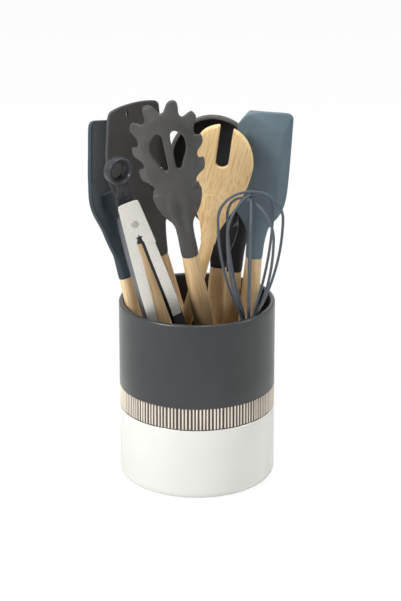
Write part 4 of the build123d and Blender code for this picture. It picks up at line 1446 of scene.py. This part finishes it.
@dataclass(frozen=True)
class Tongs:
    """Sprung steel tongs: two folded arms on one rivet."""

    left_depth: float = 10.5
    right_depth: float = 9.3
    sheet: float = 1.0
    shear: float = -0.155
    back_top: float = 241.0
    fold_top: float = 252.0
    fold_fall: float = 0.55
    steel: BrushedSteel = BrushedSteel("tongs_steel", 0.42, (212, 209, 202), 0.7)
    left_front: Outline = (
        (-14.6, 136.0), (-13.2, 152.0), (-11.7, 175.3), (-10.0, 193.7), (-8.3, 211.9), (-6.2, 229.9),
        (-4.3, 247.8), (-3.4, 256.4), (-2.4, 258.8), (0.1, 259.4), (5.8, 259.5), (11.6, 259.4),
        (13.6, 258.7), (14.3, 256.4), (14.8, 244.0), (15.4, 228.0), (15.7, 219.0), (12.0, 219.6),
        (7.9, 221.3), (6.3, 223.4), (5.9, 226.4), (7.6, 228.0), (5.4, 228.3), (4.7, 230.4), (3.9, 228.4),
        (1.6, 228.2), (2.6, 226.6), (1.1, 224.1), (0.3, 208.3), (-1.6, 190.1), (-3.6, 171.8),
        (-6.0, 152.0), (-7.6, 136.0),
    )
    right_front: Outline = (
        (6.9, 134.0), (7.1, 148.0), (7.5, 167.0), (7.2, 186.3), (7.0, 205.4), (7.0, 226.0), (14.2, 226.0),
        (15.0, 219.0), (15.4, 201.8), (15.8, 182.5), (15.8, 163.1), (14.0, 149.0), (13.9, 134.0),
    )

    def leaf(
        self,
        name: str,
        outline: Outline,
        depth: float,
        place: Matrix,
        materials: Sequence[Material],
    ) -> Object:
        """One flat wall of an arm, across the view.

        Args:
            name: the wall's name.
            outline: its outline.
            depth: its place along Y.
            place: the tongs' frame.
            materials: its material slots.

        Returns:
            The wall.
        """
        shift = self.shear * (depth + self.left_depth)
        if depth > 0.0:
            outline = [(x, min(z, self.back_top)) for x, z in outline]

        def moved(point: Vector) -> Vector:
            """The point, on this wall."""
            return Vector((point.x + shift, point.y + depth, point.z))

        return Form.plate(name, outline, [], self.sheet / 2, 0.3, place, materials, 8.0, moved)

    def web(self, edge: Outline, inward: float, deep: float) -> tuple[list[Vector], Faces]:
        """Folded side wall between an arm's front and back.

        Args:
            edge: the outer edge of the front wall, from below up.
            inward: the sheet's thickness, with its sign.
            deep: half the arm's depth.

        Returns:
            Points and faces.
        """
        section = [(0.9, -deep), (0.3, -deep + 0.2), (0.0, -deep + 0.9), (0.0, deep - 0.9)]
        section += [(0.3, deep - 0.2), (0.9, deep), (0.9, deep - self.sheet), (1.0, -deep + self.sheet)]
        rings: list[Ring] = []
        for x, z in edge:
            ring: Ring = []
            for across, y in section:
                high = min(z, self.fold_top - self.fold_fall * (y + deep))
                ring.append(Vector((x + across * inward + self.shear * (y + deep), y, high)))
            rings.append(ring)
        return Form.skin(rings)

    def arm(
        self,
        name: str,
        front: Outline,
        edge: Outline,
        inward: float,
        deep: float,
        materials: Sequence[Material],
        place: Matrix,
    ) -> Object:
        """One arm.

        Args:
            name: the arm's name.
            front: outline of its front wall.
            edge: outer edge of the front wall, from below up.
            inward: the sheet's thickness, with its sign.
            deep: half the arm's depth.
            materials: of the front wall, and of the back and the folded side, the latter a darker steel as
                painted shade.
            place: the tongs' frame.

        Returns:
            The arm.
        """
        depth = deep - self.sheet / 2
        arm = self.leaf(name, front, -depth, place, materials)
        back = self.leaf(f"{name}_back", front, depth, place, materials)
        wall = Form.write(f"{name}_side", *self.web(edge, inward, deep), place, materials)
        # backs and folded sides take the darker steel, a painted shade
        for face in (*wall.data.polygons, *back.data.polygons):
            face.material_index = 1
        Form.join(arm, back, wall)
        Form.finish_mesh(arm, 30.0)
        return arm

    def build(self, stance: Stance, shaded: Material) -> None:
        """Build both arms.

        Args:
            stance: how the tongs stand.
            shaded: darker steel of the back and folded sides, a painted shade and painted dark reflection.
        """
        place = stance.frame(RESTING_GAP)
        both = [self.steel.build(place), shaded]
        for side, body, front, edge, inward, deep in (
            ("left", "tongs", self.left_front, self.left_front[:8], 1.0, self.left_depth),
            ("right", "tongs_right_arm", self.right_front, self.right_front[:5:-1], -1.0, self.right_depth),
        ):
            arm = self.arm(f"tongs_{side}_steel_arm", front, edge, inward, deep, both, place)
            settle(arm, body, "steel", f"tongs_{side}_arm")


@dataclass(frozen=True)
class Pull:
    """Dark pull of the tongs: a flared round eye on a tang that slides on the rivet."""

    middle: tuple[float, float] = (7.6, 283.6)
    turn: float = 24.0
    columns: int = 72
    slot: tuple[float, float, float, float] = (4.5, 228.4, 244.2, 2.8)
    hole_middle: tuple[float, float] = (6.2, 262.4)
    hole_radii: tuple[float, float] = (2.1, 2.9)
    half_thickness: float = 2.4
    rounding: float = 0.8
    eye: Outline = (
        (6.3, 5.2), (6.2, 2.0), (6.6, -0.6), (7.6, -3.0), (8.7, -4.8), (9.8, -5.5), (10.8, -5.0),
        (11.5, -3.2), (11.7, 0.0), (11.5, 3.2), (10.6, 4.9), (8.6, 5.5), (6.9, 5.5),
    )
    tang: Outline = (
        (0.6, 224.6), (-0.6, 232.0), (-1.2, 240.0), (-2.6, 250.0), (-3.4, 257.6), (-1.6, 263.4),
        (1.2, 269.0), (2.6, 276.0), (11.8, 275.0), (11.2, 268.0), (10.7, 262.0), (10.6, 256.0),
        (10.6, 246.0), (10.0, 236.0), (9.2, 224.6),
    )

    def build(self, stance: Stance, material: Material) -> None:
        """Build the pull.

        Args:
            stance: how the tongs stand.
            material: its nylon.
        """
        place = stance.frame(RESTING_GAP)
        c, s = cos(radians(self.turn)), sin(radians(self.turn))
        rings: list[Ring] = []
        for step in range(self.columns):
            angle = 2 * pi * step / self.columns
            ring: Ring = []
            for radius, y in self.eye:
                x, z = radius * cos(angle), radius * sin(angle)
                ring.append(Vector((x * c - y * s + self.middle[0], x * s + y * c, z + self.middle[1])))
            rings.append(ring)
        points, faces = Form.skin([*rings, rings[0]], False)
        pull = Form.write("tongs_pull_moulded", points, faces, place, [material])
        (x, z), (wide, high) = self.hole_middle, self.hole_radii
        hole = [(x + wide * cos(pi * step / 12), z + high * sin(pi * step / 12)) for step in range(24)]
        outline = Form.curve_through(self.tang, True, 3)
        holes, sizes = [hole, Blade.slit(*self.slot)], (self.half_thickness, self.rounding)
        tang = Form.plate("pull_tang", outline, holes, *sizes, place, [material], 6.0, lambda p: p)
        Form.join(pull, tang)
        Form.fuse(pull, 0.45, 3)
        settle(pull, "tongs_pull", "dark_nylon", "tongs_pull")


class CadDresser:
    """Gives the CAD nodes that stay their finished materials."""

    handled = (
        "spoonula",
        "slotted_turner",
        "solid_turner",
        "pasta_fork",
        "ladle",
        "serving_spoon",
        "spatula",
        "whisk",
    )
    # steel darker than the tongs' own, for the rivet and spring: a painted shade
    bare_steel = BrushedSteel("long_brushed_steel", 0.3, (168, 166, 160))

    def __init__(self, nodes: dict[str, Object]) -> None:
        """Remember the frame's nodes.

        Args:
            nodes: the frame's objects by name.
        """
        self.nodes = nodes

    def dress(self, material: Material, *names: str) -> None:
        """Put one material on CAD nodes.

        Args:
            material: the finish.
            names: names of the nodes.
        """
        for name in names:
            for slot in self.nodes[name].material_slots:
                slot.material = material
            LOG.info("dressed %s", name)

    def dress_all(self, finishes: Finishes, places: Places) -> None:
        """Put the finished materials on every node that stays.

        Args:
            finishes: the set's finishes.
            places: where the tools stand.
        """
        for number, tool in enumerate(self.handled):
            self.dress(finishes.bamboo(number, getattr(places, tool).frame()), f"{tool}_handle")
        self.dress(finishes.dark, "tongs_left_tip", "tongs_right_tip")
        self.dress(finishes.nylon, "whisk_ferrule")
        self.dress(finishes.wire, *(f"whisk_loop_{number}" for number in (1, 2, 3, 4)))
        # rivet and spring in the darker steel, a painted shade
        self.dress(self.bare_steel.build(places.tongs.frame(RESTING_GAP)), "tongs_pin", "tongs_spring")


@dataclass(frozen=True)
class Studio:
    """Floor, lights and camera."""

    distance: float = 2.295
    look_down: float = 20.52
    aim: tuple[float, float] = (0.00292, 0.1503)
    lens: float = 167.7
    lamp_aim: tuple[float, float, float] = (0.0, 0.0, 0.16)
    soft_light: float = 0.15
    backdrop: float = 1.02
    floor_glow: float = 1.03
    floor_share: float = 0.9

    def build(self) -> None:
        """Build the whole studio."""
        self.floor()
        self.world()
        self.lights()
        self.camera()

    def floor(self) -> None:
        """Pale floor that the camera sees as white away from the object's shadow."""
        work = bmesh.new()
        bmesh.ops.create_grid(work, x_segments=8, y_segments=8, size=3.0)
        mesh = bpy.data.meshes.new("floor")
        work.to_mesh(mesh)
        work.free()
        floor = linked("floor", mesh)
        floor.location = (0.0, 1.0, -0.0002)
        material = bpy.data.materials.new("floor_paper")
        sheet = NodeSheet(material)
        paper = sheet.add("ShaderNodeBsdfDiffuse", {"Color": linear(246, 246, 245)})
        glow = sheet.add("ShaderNodeEmission", {"Strength": self.floor_glow})
        share = sheet.add("ShaderNodeMath", {1: self.floor_share}, operation="MULTIPLY")
        sheet.join(sheet.add("ShaderNodeLightPath"), "Is Camera Ray", share, 0)
        sheet.show(share, paper, glow, "ShaderNodeOutputMaterial")
        mesh.materials.append(material)

    def world(self) -> None:
        """White backdrop for the camera and for reflections, plain soft light for the rest."""
        world = bpy.data.worlds.new("studio")
        bpy.context.scene.world = world
        sheet = NodeSheet(world)
        white = (1.0, 1.0, 1.0, 1.0)
        plain = sheet.add("ShaderNodeBackground", {"Color": white, "Strength": self.soft_light})
        seen = sheet.add("ShaderNodeBackground", {"Color": white, "Strength": self.backdrop})
        rays = sheet.add("ShaderNodeLightPath")
        first = sheet.add("ShaderNodeMath", operation="MAXIMUM")
        second = sheet.add("ShaderNodeMath", operation="MAXIMUM")
        sheet.join(rays, "Is Camera Ray", first, 0)
        sheet.join(rays, "Is Transmission Ray", first, 1)
        sheet.join(first, "Value", second, 0)
        sheet.join(rays, "Is Glossy Ray", second, 1)
        sheet.show(second, plain, seen, "ShaderNodeOutputWorld")

    def lights(self) -> None:
        """Large soft lights: left front, top and a weak one from the right."""
        for name, place, size, power in (
            ("key_light", (-1.35, -1.1, 1.2), 0.7, 32.0),
            ("top_light", (0.1, 0.1, 1.7), 1.0, 18.0),
            ("right_light", (1.6, -0.3, 0.8), 0.6, 7.0),
        ):
            data = bpy.data.lights.new(name, "AREA")
            data.shape = "SQUARE"
            data.size = size
            data.energy = power
            lamp = linked(name, data)
            lamp.location = place
            aim = Vector(self.lamp_aim) - Vector(place)
            lamp.rotation_euler = aim.to_track_quat("-Z", "Y").to_euler()

    def camera(self) -> None:
        """Camera at the photograph's distance and height."""
        data = bpy.data.cameras.new("camera")
        data.sensor_width = 36.0
        data.lens = self.lens
        data.clip_start = 0.05
        data.clip_end = 20.0
        camera = linked("camera", data)
        dip = radians(self.look_down)
        camera.location = (self.aim[0], -self.distance * cos(dip), self.aim[1] + self.distance * sin(dip))
        camera.rotation_euler = (pi / 2 - dip, 0.0, 0.0)
        bpy.context.scene.camera = camera


def main() -> None:
    """Dress the crock and its tools and set up the studio."""
    logging.basicConfig(level=logging.INFO, format="%(message)s")
    finishes = Finishes()
    places = Places()
    CadDresser(frame["nodes"]).dress_all(finishes, places)
    WoodenSpoon().build(places.wooden_spoon)
    Crock().build(finishes)
    PastaFork().build(places.pasta_fork, finishes.charcoal)
    # spoonula in the darker blue-grey copy, a painted shade
    SPOONULA.build(places.spoonula, finishes.blue_grey_painted_shade)
    SLOTTED_TURNER.build(places.slotted_turner, finishes.charcoal)
    SOLID_TURNER.build(places.solid_turner, finishes.charcoal)
    SPATULA.build(places.spatula, finishes.blue_grey)
    # bowls in the darker silicone (painted shade) with the lighter lip (painted highlight)
    LADLE.build(places.ladle, finishes.dark, finishes.lip)
    SERVING_SPOON.build(places.serving_spoon, finishes.dark, finishes.lip)
    Tongs().build(places.tongs, finishes.shaded_steel)
    Pull().build(places.tongs, finishes.nylon)
    Studio().build()
    bpy.context.scene.view_settings.view_transform = "Standard"
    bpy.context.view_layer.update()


if __name__ == "__main__":
    main()
